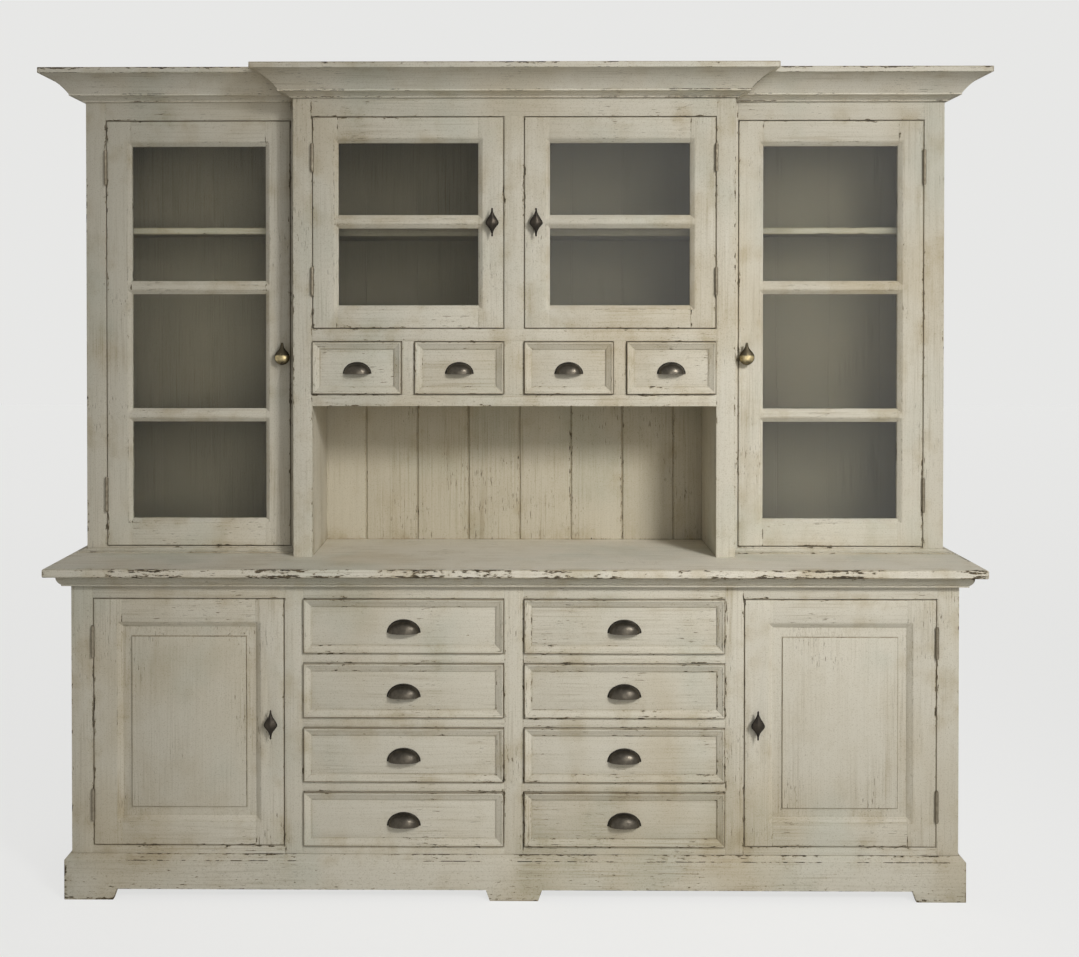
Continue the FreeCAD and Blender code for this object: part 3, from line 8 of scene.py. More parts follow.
import bmesh
import bpy
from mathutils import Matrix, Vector


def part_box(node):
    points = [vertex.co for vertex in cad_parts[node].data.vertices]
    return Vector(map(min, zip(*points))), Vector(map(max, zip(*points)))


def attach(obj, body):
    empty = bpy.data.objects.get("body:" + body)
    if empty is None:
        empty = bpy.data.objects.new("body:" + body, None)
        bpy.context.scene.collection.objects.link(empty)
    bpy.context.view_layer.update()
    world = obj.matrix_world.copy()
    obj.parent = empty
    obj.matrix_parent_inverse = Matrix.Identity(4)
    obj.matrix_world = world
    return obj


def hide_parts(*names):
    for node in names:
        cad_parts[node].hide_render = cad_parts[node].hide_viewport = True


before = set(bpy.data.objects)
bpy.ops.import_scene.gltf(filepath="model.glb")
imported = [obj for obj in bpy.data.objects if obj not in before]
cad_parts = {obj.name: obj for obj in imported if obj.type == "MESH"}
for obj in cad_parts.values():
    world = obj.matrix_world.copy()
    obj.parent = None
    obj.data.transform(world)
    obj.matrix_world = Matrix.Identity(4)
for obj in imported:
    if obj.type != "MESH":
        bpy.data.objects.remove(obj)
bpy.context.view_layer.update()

# Camera: it stands a little above the countertop and is turned half a degree to the left.
# It looks down by less than a degree, and its frame is shifted down to take in the feet.
LENS = 47.3
SENSOR = 36
CAMERA_PLACE = (0.005, -3.855, 1.514)
CAMERA_TILT = -0.7
CAMERA_TURN = 0.5
SHIFT_RIGHT = 0.0333
SHIFT_UP = -0.1358

camera_data = bpy.data.cameras.new("camera")
camera_data.lens = LENS
camera_data.sensor_width = SENSOR
camera_data.shift_x = SHIFT_RIGHT
camera_data.shift_y = SHIFT_UP
camera = bpy.data.objects.new("camera", camera_data)
camera.location = CAMERA_PLACE
camera.rotation_euler = (math.radians(90 + CAMERA_TILT), 0, math.radians(CAMERA_TURN))
bpy.context.scene.collection.objects.link(camera)
bpy.context.scene.camera = camera


# Plinth: pine boards with bracket feet, mitred at the corners, under matt cream chalk paint.
# The paint is brushed along each board over stains. Along the edges, and where brooms and
# shoes reach, it is rubbed and chipped through to dark old pine.
def place(tree, kind, given=None, **settings):
    """A node with its settings, and with a number or another node's socket on each input."""
    made = tree.nodes.new(kind)
    for name, setting in settings.items():
        setattr(made, name, setting)
    for name, source in (given or {}).items():
        if isinstance(source, bpy.types.NodeSocket):
            tree.links.new(source, made.inputs[name])
        else:
            made.inputs[name].default_value = source
    return made


def linear(red, green, blue):
    """A colour as a paint chart gives it, 0 to 255, as the shader needs it."""
    def channel(level):
        level /= 255
        return level / 12.92 if level <= 0.04045 else ((level + 0.055) / 1.055) ** 2.4
    return (channel(red), channel(green), channel(blue), 1)


def sums(tree, operation, first, second, clamp=False):
    """One arithmetic step between two values."""
    made = tree.nodes.new("ShaderNodeMath")
    made.operation = operation
    made.use_clamp = clamp
    for socket, source in zip(made.inputs, (first, second)):
        if isinstance(source, bpy.types.NodeSocket):
            tree.links.new(source, socket)
        else:
            socket.default_value = source
    return made.outputs[0]


def spread(tree, value, low, high, to_low=0.0, to_high=1.0):
    """A value that changes smoothly from to_low to to_high between low and high."""
    made = place(tree, "ShaderNodeMapRange", {"Value": value, "From Min": low, "From Max": high,
                                              "To Min": to_low, "To Max": to_high},
                 interpolation_type="SMOOTHSTEP")
    return made.outputs["Result"]


def grain_noise(tree, where, stretch, detail=3.0, rough=0.55):
    """Noise that is stretched along, across and through a board, in waves per metre."""
    scaled = place(tree, "ShaderNodeVectorMath", operation="MULTIPLY")
    tree.links.new(where, scaled.inputs[0])
    scaled.inputs[1].default_value = stretch
    noise = place(tree, "ShaderNodeTexNoise",
                  {"Vector": scaled.outputs[0], "Scale": 1.0, "Detail": detail, "Roughness": rough})
    return noise.outputs["Fac"]


def blend(tree, amount, under, over, mode="MIX"):
    """One colour over another."""
    made = tree.nodes.new("ShaderNodeMix")
    made.data_type = "RGBA"
    made.blend_type = mode
    for name, source in (("Factor", amount), ("A", under), ("B", over)):
        socket = [s for s in made.inputs if s.name == name and s.enabled][0]
        if isinstance(source, bpy.types.NodeSocket):
            tree.links.new(source, socket)
        else:
            socket.default_value = source
    return [s for s in made.outputs if s.enabled][0]


def new_group(name, inputs, outputs):
    """A node group with named sockets: (name, kind, value) and (name, kind)."""
    tree = bpy.data.node_groups.new(name, "ShaderNodeTree")
    for title, kind, value in inputs:
        socket = tree.interface.new_socket(title, in_out="INPUT", socket_type=kind)
        socket.default_value = value
    for title, kind in outputs:
        tree.interface.new_socket(title, in_out="OUTPUT", socket_type=kind)
    return tree, tree.nodes.new("NodeGroupInput"), tree.nodes.new("NodeGroupOutput")


def edge_distance(tree, spot, half):
    """How far a point of a board is from its nearest edge: the middle one of three depths."""
    flat = place(tree, "ShaderNodeVectorMath", operation="ABSOLUTE")
    tree.links.new(spot, flat.inputs[0])
    left = place(tree, "ShaderNodeVectorMath", operation="SUBTRACT")
    tree.links.new(half, left.inputs[0])
    tree.links.new(flat.outputs[0], left.inputs[1])
    x, y, z = place(tree, "ShaderNodeSeparateXYZ", {"Vector": left.outputs[0]}).outputs
    lesser, greater = sums(tree, "MINIMUM", x, y), sums(tree, "MAXIMUM", x, y)
    return sums(tree, "MAXIMUM", lesser, sums(tree, "MINIMUM", greater, z))


COLOUR, FLOAT = "NodeSocketColor", "NodeSocketFloat"
# What each stain, mark or painted shade turns white paint into
WARM_STAIN = (0.80, 0.72, 0.58, 1)
COOL_STAIN = (0.84, 0.89, 0.89, 1)
GRIME = (0.76, 0.70, 0.58, 1)
BOARD_TONE = (0.70, 0.68, 0.62, 1)
BRISTLE_MARK = (0.54, 0.48, 0.37, 1)
LONG_MARK = (0.60, 0.52, 0.38, 1)
CHALKY_SPECK = (0.52, 0.46, 0.34, 1)
DARK_DASH = (0.20, 0.15, 0.09, 1)
WAX_AND_CORNER_SHADE = (0.34, 0.27, 0.15, 1)
RIM_GAP_SHADE = (0.20, 0.16, 0.10, 1)
FIELD_EDGE_SHADE = (0.34, 0.28, 0.18, 1)
THIN_PAINT = (0.60, 0.53, 0.40, 1)
OLD_PINE, OLD_PINE_STREAK = linear(58, 50, 38), linear(98, 86, 66)
# How far each reaches from an edge or from the line's middle, or up from the floor
GRIME_REACH = 0.045
WAX_REACH = 0.0045
RIM_REACH = 0.0026
LINE_CORE, LINE_REACH = 0.0004, 0.0022
KICK_HEIGHT = 0.13


def chalk_paint_group():
    """Colour, roughness and height of brushed, stained, rubbed paint, with some painted shade."""
    tree, given, made = new_group(
        "chalk_paint",
        (("Paint", COLOUR, (0.5, 0.46, 0.38, 1)), ("Highlight", COLOUR, (0.6, 0.58, 0.5, 1)),
         ("Stains", FLOAT, 1.0), ("Boards", FLOAT, 0.25), ("Wax And Shade", FLOAT, 1.0),
         ("Rub", FLOAT, 1.0), ("Reach", FLOAT, 0.0085), ("Bare", FLOAT, 1.0),
         ("Dashes", FLOAT, 1.0), ("Rim Shade", FLOAT, 0.0), ("Line", FLOAT, 0.0),
         ("Line At", FLOAT, 0.0)),
        (("Colour", COLOUR), ("Roughness", FLOAT), ("Height", FLOAT)))
    grain, spot, half, rim_spot, rim_half = (
        place(tree, "ShaderNodeAttribute", attribute_name=name).outputs["Vector"]
        for name in ("grain", "spot", "half", "rim_spot", "rim_half"))
    worn, board = (place(tree, "ShaderNodeAttribute", attribute_name=name).outputs["Fac"]
                   for name in ("worn", "board"))
    here = place(tree, "ShaderNodeTexCoord").outputs["Object"]
    depth = edge_distance(tree, spot, half)

    def tinted(colour, amount, tint):
        """The coat darkened towards a tint, by an amount that changes over the surface."""
        return blend(tree, amount, colour, tint, "MULTIPLY")

    def scaled(amount, by):
        return sums(tree, "MULTIPLY", amount, by)

    # The coat: broad warm and cool clouds, and the tone of each board
    clouds = grain_noise(tree, here, (2.3, 2.3, 1.7), 3)
    cool = grain_noise(tree, here, (3.7, 3.1, 2.9), 3)
    stains = given.outputs["Stains"]
    colour = tinted(given.outputs["Paint"], scaled(spread(tree, clouds, 0.48, 0.72, 0, 0.6), stains),
                    WARM_STAIN)
    colour = tinted(colour, scaled(spread(tree, cool, 0.50, 0.70, 0, 0.6), stains), COOL_STAIN)
    grime = scaled(spread(tree, grain_noise(tree, here, (13, 13, 11), 4, 0.6), 0.46, 0.72, 0.1, 1.0),
                   spread(tree, depth, 0.0, GRIME_REACH, 0.75, 0.25))
    colour = tinted(colour, scaled(grime, stains), GRIME)
    colour = tinted(colour, scaled(board, given.outputs["Boards"]), BOARD_TONE)

    # Brush marks along the board, and the speckle of a chalky coat
    brushed = grain_noise(tree, grain, (5, 240, 240), 5, 0.65)
    speckle = grain_noise(tree, here, (330, 330, 330), 2)
    long_marks = grain_noise(tree, grain, (2.2, 38, 38), 4, 0.6)
    patchy = spread(tree, grain_noise(tree, here, (6.5, 6.5, 4.5), 2), 0.36, 0.66, 0.25, 1.0)
    colour = tinted(colour, scaled(spread(tree, brushed, 0.48, 0.76, 0, 0.6), patchy),
                    BRISTLE_MARK)
    colour = blend(tree, spread(tree, brushed, 0.26, 0.46, 0.30, 0), colour,
                   given.outputs["Highlight"])
    colour = tinted(colour, scaled(spread(tree, long_marks, 0.58, 0.82, 0, 0.6), patchy),
                    LONG_MARK)
    colour = tinted(colour, spread(tree, speckle, 0.50, 0.78, 0, 0.5), CHALKY_SPECK)

    # Short dark dashes along the grain, in loose groups
    strokes = grain_noise(tree, grain, (38, 330, 330), 2, 0.5)
    groups = grain_noise(tree, here, (6.5, 6.5, 5.0), 2)
    dash = scaled(spread(tree, strokes, 0.64, 0.70), spread(tree, groups, 0.52, 0.62))
    dash = scaled(dash, given.outputs["Dashes"])
    colour = tinted(colour, scaled(dash, 0.75), DARK_DASH)

    # Wax and dust close to every edge, darker there also as painted shade in the corners where boards
    # meet
    wax_and_corner_shade = scaled(spread(tree, depth, 0.0, WAX_REACH, 0.75, 0),
                     spread(tree, long_marks, 0.34, 0.62, 0.25, 1.0))
    colour = tinted(colour, scaled(wax_and_corner_shade, given.outputs["Wax And Shade"]), WAX_AND_CORNER_SHADE)

    # Painted shade along the outline of a door or drawer, and a painted shadow line round a field
    inward = edge_distance(tree, rim_spot, rim_half)
    uneven = spread(tree, long_marks, 0.30, 0.60, 0.6, 1.0)
    rim = scaled(spread(tree, inward, 0.0, RIM_REACH, 1.0, 0), uneven)
    colour = tinted(colour, scaled(rim, given.outputs["Rim Shade"]), RIM_GAP_SHADE)
    # A painted shadow line round the field of a raised panel, where its step down is
    off_line = sums(tree, "ABSOLUTE", sums(tree, "SUBTRACT", inward, given.outputs["Line At"]), 0)
    field_edge_shade = scaled(spread(tree, off_line, LINE_CORE, LINE_REACH, 1.0, 0), uneven)
    colour = tinted(colour, scaled(field_edge_shade, given.outputs["Line"]), FIELD_EDGE_SHADE)

    # Edges rubbed through to dark old pine, more where hands and brooms reach
    chips = grain_noise(tree, grain, (55, 210, 210), 4, 0.6)
    rubbed = grain_noise(tree, here, (6.6, 6.6, 6.6), 3)
    edge = sums(tree, "MAXIMUM", spread(tree, depth, 0.0, given.outputs["Reach"], 1, 0),
                scaled(worn, 0.85))
    reach = scaled(scaled(edge, given.outputs["Rub"]), spread(tree, rubbed, 0.42, 0.62, 0.06, 0.25))
    low_down = place(tree, "ShaderNodeSeparateXYZ", {"Vector": here}).outputs["Z"]
    kicked = scaled(spread(tree, low_down, 0.0, KICK_HEIGHT, 0.07, 0), given.outputs["Rub"])
    total = sums(tree, "ADD", sums(tree, "ADD", chips, reach), kicked)
    colour = tinted(colour, spread(tree, total, 0.67, 0.75, 0, 0.7), THIN_PAINT)
    bare = scaled(spread(tree, total, 0.735, 0.765), given.outputs["Bare"])
    old_wood = blend(tree, spread(tree, strokes, 0.4, 0.62), OLD_PINE, OLD_PINE_STREAK)
    colour = blend(tree, bare, colour, old_wood)

    height = sums(tree, "ADD", scaled(brushed, 0.5), scaled(speckle, 0.25))
    height = sums(tree, "SUBTRACT", height, scaled(bare, 0.8))
    height = sums(tree, "SUBTRACT", height, scaled(dash, 0.3))
    tree.links.new(colour, made.inputs["Colour"])
    tree.links.new(spread(tree, brushed, 0.3, 0.7, 0.66, 0.88), made.inputs["Roughness"])
    tree.links.new(height, made.inputs["Height"])
    return tree


def finish(name, group, settings, bump=0.0006, specular=0.5):
    """A material whose colour, roughness and relief come from one of the groups."""
    material = bpy.data.materials.new(name)
    material.use_nodes = True
    tree = material.node_tree
    shader = tree.nodes["Principled BSDF"]
    mix = tree.nodes.new("ShaderNodeGroup")
    mix.node_tree = group
    for title, value in settings.items():
        mix.inputs[title].default_value = value
    relief = place(tree, "ShaderNodeBump", {"Height": mix.outputs["Height"], "Distance": bump})
    tree.links.new(mix.outputs["Colour"], shader.inputs["Base Color"])
    tree.links.new(mix.outputs["Roughness"], shader.inputs["Roughness"])
    tree.links.new(relief.outputs["Normal"], shader.inputs["Normal"])
    if "Metallic" in mix.outputs:
        tree.links.new(mix.outputs["Metallic"], shader.inputs["Metallic"])
    shader.inputs["Specular IOR Level"].default_value = specular
    return material


chalk_paint = chalk_paint_group()
CREAM = {"Paint": linear(206, 200, 184), "Highlight": linear(214, 209, 196), "Stains": 1.0}
PAINT_SHINE = 0.3


def coat(name, settings):
    """The cream paint as it has aged on some of the pieces."""
    return finish(name + "_chalk_paint", chalk_paint, {**CREAM, **settings}, specular=PAINT_SHINE)


# Every wooden piece is built again from its solids, one board at a time. Each board gets
# softened edges, its own grain direction, and its distance from every edge.
SHARP = 28
BOARD_CREASE = 20
FLAT = 0.5
FAR_OFF = 1.0


def solids(node):
    """The triangles of each solid of a node: a solid ends where its surface has closed."""
    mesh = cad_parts[node].data
    spots = [tuple(round(x, 6) for x in vertex.co) for vertex in mesh.vertices]
    boards, board, unmatched = [], [], set()
    for face in mesh.polygons:
        corners = [spots[index] for index in face.vertices]
        if len(set(corners)) < 3:
            continue
        board.append(corners)
        for start, end in zip(corners, corners[1:] + corners[:1]):
            if (end, start) in unmatched:
                unmatched.discard((end, start))
            else:
                unmatched.add((start, end))
        if not unmatched:
            boards.append(board)
            board = []
    return boards + ([board] if board else [])


def extent(spots):
    """The lowest and the highest corner of the box round some points."""
    return (Vector([min(spot[i] for spot in spots) for i in range(3)]),
            Vector([max(spot[i] for spot in spots) for i in range(3)]))


def softened(triangles, soft, cuts=()):
    """One solid with whole flat faces and softened edges, and its layer of softened faces."""
    mesh = bmesh.new()
    corner = {spot: mesh.verts.new(spot) for spot in sorted({s for t in triangles for s in t})}
    for spots in triangles:
        if not mesh.faces.get([corner[spot] for spot in spots]):
            mesh.faces.new([corner[spot] for spot in spots])
    bmesh.ops.dissolve_limit(mesh, angle_limit=math.radians(FLAT), verts=mesh.verts,
                             edges=mesh.edges)
    sharp = [e for e in mesh.edges if e.is_manifold and e.calc_face_angle(0) > math.radians(SHARP)]
    worn = mesh.faces.layers.float.new("worn")
    if soft and sharp:
        made = bmesh.ops.bevel(mesh, geom=sharp, offset=soft, segments=2, profile=0.6,
                               affect="EDGES", clamp_overlap=True)
        for face in made["faces"]:
            face[worn] = 1
    for spot, normal in cuts:
        bmesh.ops.bisect_plane(mesh, geom=mesh.verts[:] + mesh.edges[:] + mesh.faces[:],
                               plane_co=spot, plane_no=normal)
    return mesh, worn


def shown(name, mesh, crease, materials, node, body):
    """A finished piece in the scene, in the place of the node and riding on its body."""
    data = bpy.data.meshes.new(name)
    mesh.to_mesh(data)
    mesh.free()
    data.shade_smooth()
    data.set_sharp_from_angle(angle=math.radians(crease))
    for material in materials:
        data.materials.append(material)
    piece = bpy.data.objects.new(name, data)
    bpy.context.scene.collection.objects.link(piece)
    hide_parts(node)
    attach(piece, body)


def dress(node, body, materials, choose=None, soft=0.0006, cuts=(), shape=None, butted=False):
    """The node's boards with softened edges; choose gives each face its material.

    The shape function moves a point; the ends of butted boards don't count as edges.
    """
    whole = bmesh.new()
    worn_out = whole.faces.layers.float.new("worn")
    board_out = whole.verts.layers.float.new("board")
    grain_out, spot_out, half_out, rim_spot_out, rim_half_out = (
        whole.verts.layers.float_vector.new(name)
        for name in ("grain", "spot", "half", "rim_spot", "rim_half"))
    first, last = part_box(node)
    luck = random.Random(node)
    for triangles in solids(node):
        mesh, worn = softened(triangles, soft, cuts)
        if shape:
            for vertex in mesh.verts:
                vertex.co = shape(vertex.co)
        low, high = extent([vertex.co for vertex in mesh.verts])
        centre, half = (low + high) / 2, (high - low) / 2
        along = max(range(3), key=lambda i: half[i])
        order = (along, (along + 1) % 3, (along + 2) % 3)
        if butted:
            half[along] += FAR_OFF
        tint = luck.random()
        slip = Vector([luck.uniform(0, 9) for _ in range(3)])
        copy = {}
        for vertex in mesh.verts:
            made = whole.verts.new(vertex.co)
            made[board_out] = tint
            made[grain_out] = Vector([vertex.co[i] for i in order]) + slip
            made[spot_out] = vertex.co - centre
            made[half_out] = half
            made[rim_spot_out] = vertex.co - (first + last) / 2
            made[rim_half_out] = (last - first) / 2
            copy[vertex] = made
        for face in mesh.faces:
            made = whole.faces.new([copy[vertex] for vertex in face.verts])
            made[worn_out] = face[worn]
            if choose:
                made.material_index = choose(centre, face.calc_center_median(), face.normal)
        mesh.free()
    shown("dressed_" + node, whole, BOARD_CREASE, materials, node, body)


worn_paint = coat("worn", {"Wax And Shade": 1.0, "Rub": 1.3, "Reach": 0.011})
dress("plinth", "cabinet", (worn_paint,), soft=0.0012)

# Base: a carcass of pine boards with a cupboard at each end and drawers between them, closed
# in front by a butted face frame. It is painted, darker inside with paint that is partly painted
# shade, and the drawers run on bare pine strips.
BOARD = 0.018
DRAWER_GAP = 0.0015
PROBE = 0.004
BASE_ROOM_BACK = 0.244
base_low, base_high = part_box("base_carcass")
base_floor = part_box("base_drawer_right_4")[0].z - DRAWER_GAP
# The inside, by its low and high corner; the left half mirrors the right
base_room = (Vector((-BOARD, base_low.y, base_floor)),
             Vector((base_high.x - BOARD, BASE_ROOM_BACK, base_high.z)))


def paint_by_side(*rooms):
    """Tells a face that looks into one of the rooms, 1, from one seen from outside, 0."""
    def choose(centre, face, normal):
        probe = face + normal * PROBE
        probe.x = abs(probe.x)
        return int(any(all(low[i] < probe[i] < high[i] for i in range(3)) for low, high in rooms))
    return choose


def bare_pine_group():
    """Old unpainted pine, darkened, with its grain along the board."""
    tree, given, made = new_group(
        "bare_pine", (("Wood", COLOUR, (0.4, 0.28, 0.15, 1)), ("Grain", COLOUR, (0.2, 0.12, 0.06, 1))),
        (("Colour", COLOUR), ("Roughness", FLOAT), ("Height", FLOAT)))
    grain = place(tree, "ShaderNodeAttribute", attribute_name="grain").outputs["Vector"]
    rings = grain_noise(tree, grain, (2.0, 55, 55), 4)
    pores = grain_noise(tree, grain, (20, 600, 600), 2)
    colour = blend(tree, spread(tree, rings, 0.42, 0.62), given.outputs["Wood"],
                   given.outputs["Grain"])
    colour = blend(tree, spread(tree, pores, 0.55, 0.7, 0, 0.4), colour, linear(84, 62, 38))
    tree.links.new(colour, made.inputs["Colour"])
    tree.links.new(spread(tree, pores, 0.3, 0.7, 0.55, 0.75), made.inputs["Roughness"])
    tree.links.new(sums(tree, "ADD", rings, pores), made.inputs["Height"])
    return tree


bare_pine = finish("bare_pine", bare_pine_group(),
                   {"Wood": linear(176, 145, 103), "Grain": linear(138, 104, 66)}, bump=0.0003,
                   specular=0.3)
cream_paint = coat("cream", {"Wax And Shade": 0.8, "Rub": 0.8})
frame_paint = coat("frame", {"Boards": 0.08, "Wax And Shade": 0.15, "Rub": 0.8})
# The insides' darker grey: partly their own coat, partly painted shade behind doors and glass
inside_paint_and_shade = finish("inside_paint_and_shade", chalk_paint,
                      {"Paint": linear(142, 135, 118), "Highlight": linear(148, 142, 126),
                       "Stains": 0.3, "Boards": 0.1, "Wax And Shade": 0.0, "Rub": 0.0, "Bare": 0.0,
                       "Dashes": 0.3},
                      specular=0.2)
base_side = paint_by_side(base_room)
dress("base_carcass", "cabinet", (cream_paint, inside_paint_and_shade), base_side)
dress("base_face_frame", "cabinet", (frame_paint, inside_paint_and_shade), base_side, soft=0.0003,
      butted=True)
dress("drawer_runners", "cabinet", (bare_pine,))

# Countertop: one thick pine slab, chipped along its edges more than any other piece.
# It lies on a mitred moulding that is planted against the base.
# Its cream is lighter than the other pieces': painted light from above on the slab
top_paint_with_painted_light = coat("top", {"Paint": linear(222, 216, 201), "Highlight": linear(228, 223, 210),
                         "Wax And Shade": 0.9, "Rub": 1.2, "Reach": 0.020})
dress("counter_moulding", "cabinet", (worn_paint,), soft=0.0008)
dress("countertop", "cabinet", (top_paint_with_painted_light,), soft=0.0)

# Hutch: pine boards and a butted face frame, painted as the base is. Its centre section stands
# in front of the two side sections and has four drawers over an open niche.
DOOR_GAP = 0.002
NEAR_STILE = 0.018
HUTCH_ROOM_BACK = 0.240
hutch_low, hutch_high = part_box("hutch_carcass")
centre_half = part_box("side_door_right_frame")[0].x - DOOR_GAP - NEAR_STILE
centre_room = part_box("hutch_drawer_4")[1].x + DRAWER_GAP
centre_wall = (centre_room + centre_half) / 2
niche_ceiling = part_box("hutch_drawer_4")[0].z - DRAWER_GAP - BOARD / 2
behind_side_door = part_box("side_door_right_frame")[1].y
behind_upper_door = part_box("upper_door_right_frame")[1].y
side_cupboard = (Vector((centre_half, behind_side_door, hutch_low.z + BOARD)),
                 Vector((hutch_high.x - BOARD, HUTCH_ROOM_BACK, hutch_high.z - BOARD)))
upper_cupboard = (Vector((-BOARD, behind_upper_door, niche_ceiling)),
                  Vector((centre_room, HUTCH_ROOM_BACK, hutch_high.z - BOARD)))
# Boards that pass from a cupboard into the niche are cut there, so that each part has its paint
ROOM_CUTS = (((0, 0, niche_ceiling), (0, 0, 1)), ((centre_wall, 0, 0), (1, 0, 0)),
             ((-centre_wall, 0, 0), (1, 0, 0)))
hutch_side = paint_by_side(side_cupboard, upper_cupboard)
dress("hutch_carcass", "cabinet", (cream_paint, inside_paint_and_shade), hutch_side, cuts=ROOM_CUTS)
dress("hutch_face_frame", "cabinet", (frame_paint, inside_paint_and_shade), hutch_side, soft=0.0003,
      butted=True)

# Back boards: upright pine boards with V joints, nailed to the back of the hutch.
# The joints show in the niche only; behind the doors they are filled flush.
VEE_LOW, VEE_HIGH = 0.002, 0.0055
# Above the niche's ceiling, out of sight, the joints fade out over this height
STEP_UP = 0.006
BACK_CUTS = ROOM_CUTS + (((0, 0, niche_ceiling + STEP_UP), (0, 0, 1)),)
boards_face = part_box("back_boards")[0].y
niche_paint = coat("niche", {"Paint": linear(194, 186, 166), "Highlight": linear(202, 195, 178),
                             "Wax And Shade": 0.8, "Rub": 0.8})


def filled_joint(spot):
    """A point of the boards, brought forward to their face where it is deep in a filled joint."""
    indoors = spot.z > niche_ceiling + STEP_UP / 2 or abs(spot.x) > centre_wall + STEP_UP / 2
    if indoors and VEE_LOW < spot.y - boards_face < VEE_HIGH:
        return Vector((spot.x, boards_face, spot.z))
    return spot


dress("back_boards", "cabinet", (niche_paint, inside_paint_and_shade), hutch_side, cuts=BACK_CUTS,
      shape=filled_joint)


# Shelves: plain pine boards that lie on strips screwed to the walls. They take the cupboards'
# darker paint, partly painted shade, but the high side shelves have cream front edges.
def shelf_front(centre, face, normal):
    """0 for the front edge of a high side shelf, which was painted with the outside."""
    high_up = face.z > niche_ceiling and abs(face.x) > centre_half
    # The centre shelf's dark front edge is painted shadow under the glazing bar
    return 0 if normal.y < -0.5 and high_up else 1


dress("shelves", "cabinet", (cream_paint, inside_paint_and_shade), shelf_front)

# Cornice: mitred lengths of hollow pine moulding that follow the hutch round its centre section.
# Its upper edge is rubbed and chipped nearly as much as the countertop's.
crown_paint = coat("crown", {"Paint": linear(224, 218, 203), "Highlight": linear(230, 225, 212),
                             "Wax And Shade": 0.9, "Rub": 1.25, "Reach": 0.011})
dress("cornice", "cabinet", (crown_paint,), soft=0.0010)

# Doors: butted frames with a moulded inner edge. The base ones hold a raised pine panel with a
# painted shadow line round its field; the tall and the upper ones have glazing bars.
DOORS = [f"{kind}_door_{side}" for kind in ("side", "upper", "base") for side in ("left", "right")]
# Two places nearer to each other than this are the same
TOUCH = 0.0001
panel_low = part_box("base_door_left_panel")[0]
field_edge = min(vertex.co.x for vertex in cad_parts["base_door_left_panel"].data.vertices
                 if vertex.co.y < panel_low.y + TOUCH) - panel_low.x
# Door frames darken along their outline: painted shade from the gap round each door
door_paint = coat("door", {"Boards": 0.05, "Wax And Shade": 0.15, "Rub": 1.0, "Rim Shade": 0.9})
# The panel's line round its field is painted shadow at the step
panel_paint = coat("panel", {"Wax And Shade": 0.6, "Rub": 1.3, "Reach": 0.011, "Line": 0.65,
                             "Line At": field_edge})
for door in DOORS:
    dress(door + "_frame", door, (door_paint,), soft=0.0003, butted=True)
    if door.startswith("base"):
        dress(door + "_panel", door, (panel_paint,), soft=0.0006)

# Drawers: a painted front with mouldings planted round it, on a plain pine box.
# The outline of each front is darkened as painted shade from the gap round it.
DRAWERS = [f"base_drawer_{side}_{row}" for side in ("left", "right") for row in (1, 2, 3, 4)]
DRAWERS += [f"hutch_drawer_{number}" for number in (1, 2, 3, 4)]
FRONT_THICK = 0.020
drawer_paint = coat("drawer", {"Wax And Shade": 0.8, "Rub": 0.8, "Rim Shade": 0.9})
for drawer in DRAWERS:
    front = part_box(drawer)[0].y

    def painted_front(centre, face, normal):
        """0, the paint, on the front board and its mouldings; 1, bare pine, on the box."""
        return 0 if centre.y < front + FRONT_THICK else 1

    dress(drawer, drawer, (drawer_paint, bare_pine), painted_front, soft=0.0005)

# Panes: thin old sheet glass, held by small strips behind the mouldings.
# They stay as clear flat panes of the frame's own shape.
glass = bpy.data.materials.new("old_glass")
glass.use_nodes = True
glass_shader = glass.node_tree.nodes["Principled BSDF"]
glass_shader.inputs["Base Color"].default_value = (0.86, 0.86, 0.81, 1)
glass_shader.inputs["Roughness"].default_value = 0.03
glass_shader.inputs["Transmission Weight"].default_value = 1.0
glass_shader.inputs["IOR"].default_value = 1.25
for door in DOORS:
    if not door.startswith("base"):
        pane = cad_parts[door + "_glass"]
        pane.data.materials.clear()
        pane.data.materials.append(glass)

# Cup pulls: pressed bronze hoods, open below, each with a rolled rim against the drawer.
# Their lower lip is turned in to a bead for the fingertips.
FLANGE = 0.004
HOOD_WALL = 0.0018
LIP = 0.0013
FULLNESS = 2.25
RING = 36
LEVELS = 12
HOOD_TIP = 0.02
HOOD_CREASE = 50
HOOD_TOP_DULL, HOOD_INSIDE_DULL, LIP_DULL, RIM_DULL = 0.9, 1.0, 0.3, 0.8
LIP_SECTION = [(LIP * math.cos(a), LIP * math.sin(a)) for a in (math.pi * k / 4 for k in range(8))]
RIM_SECTION = ((FLANGE, 0), (FLANGE, 0.0008), (FLANGE * 0.75, 0.0018), (FLANGE * 0.3, 0.0022),
               (-0.0005, 0.0014), (-0.001, 0))


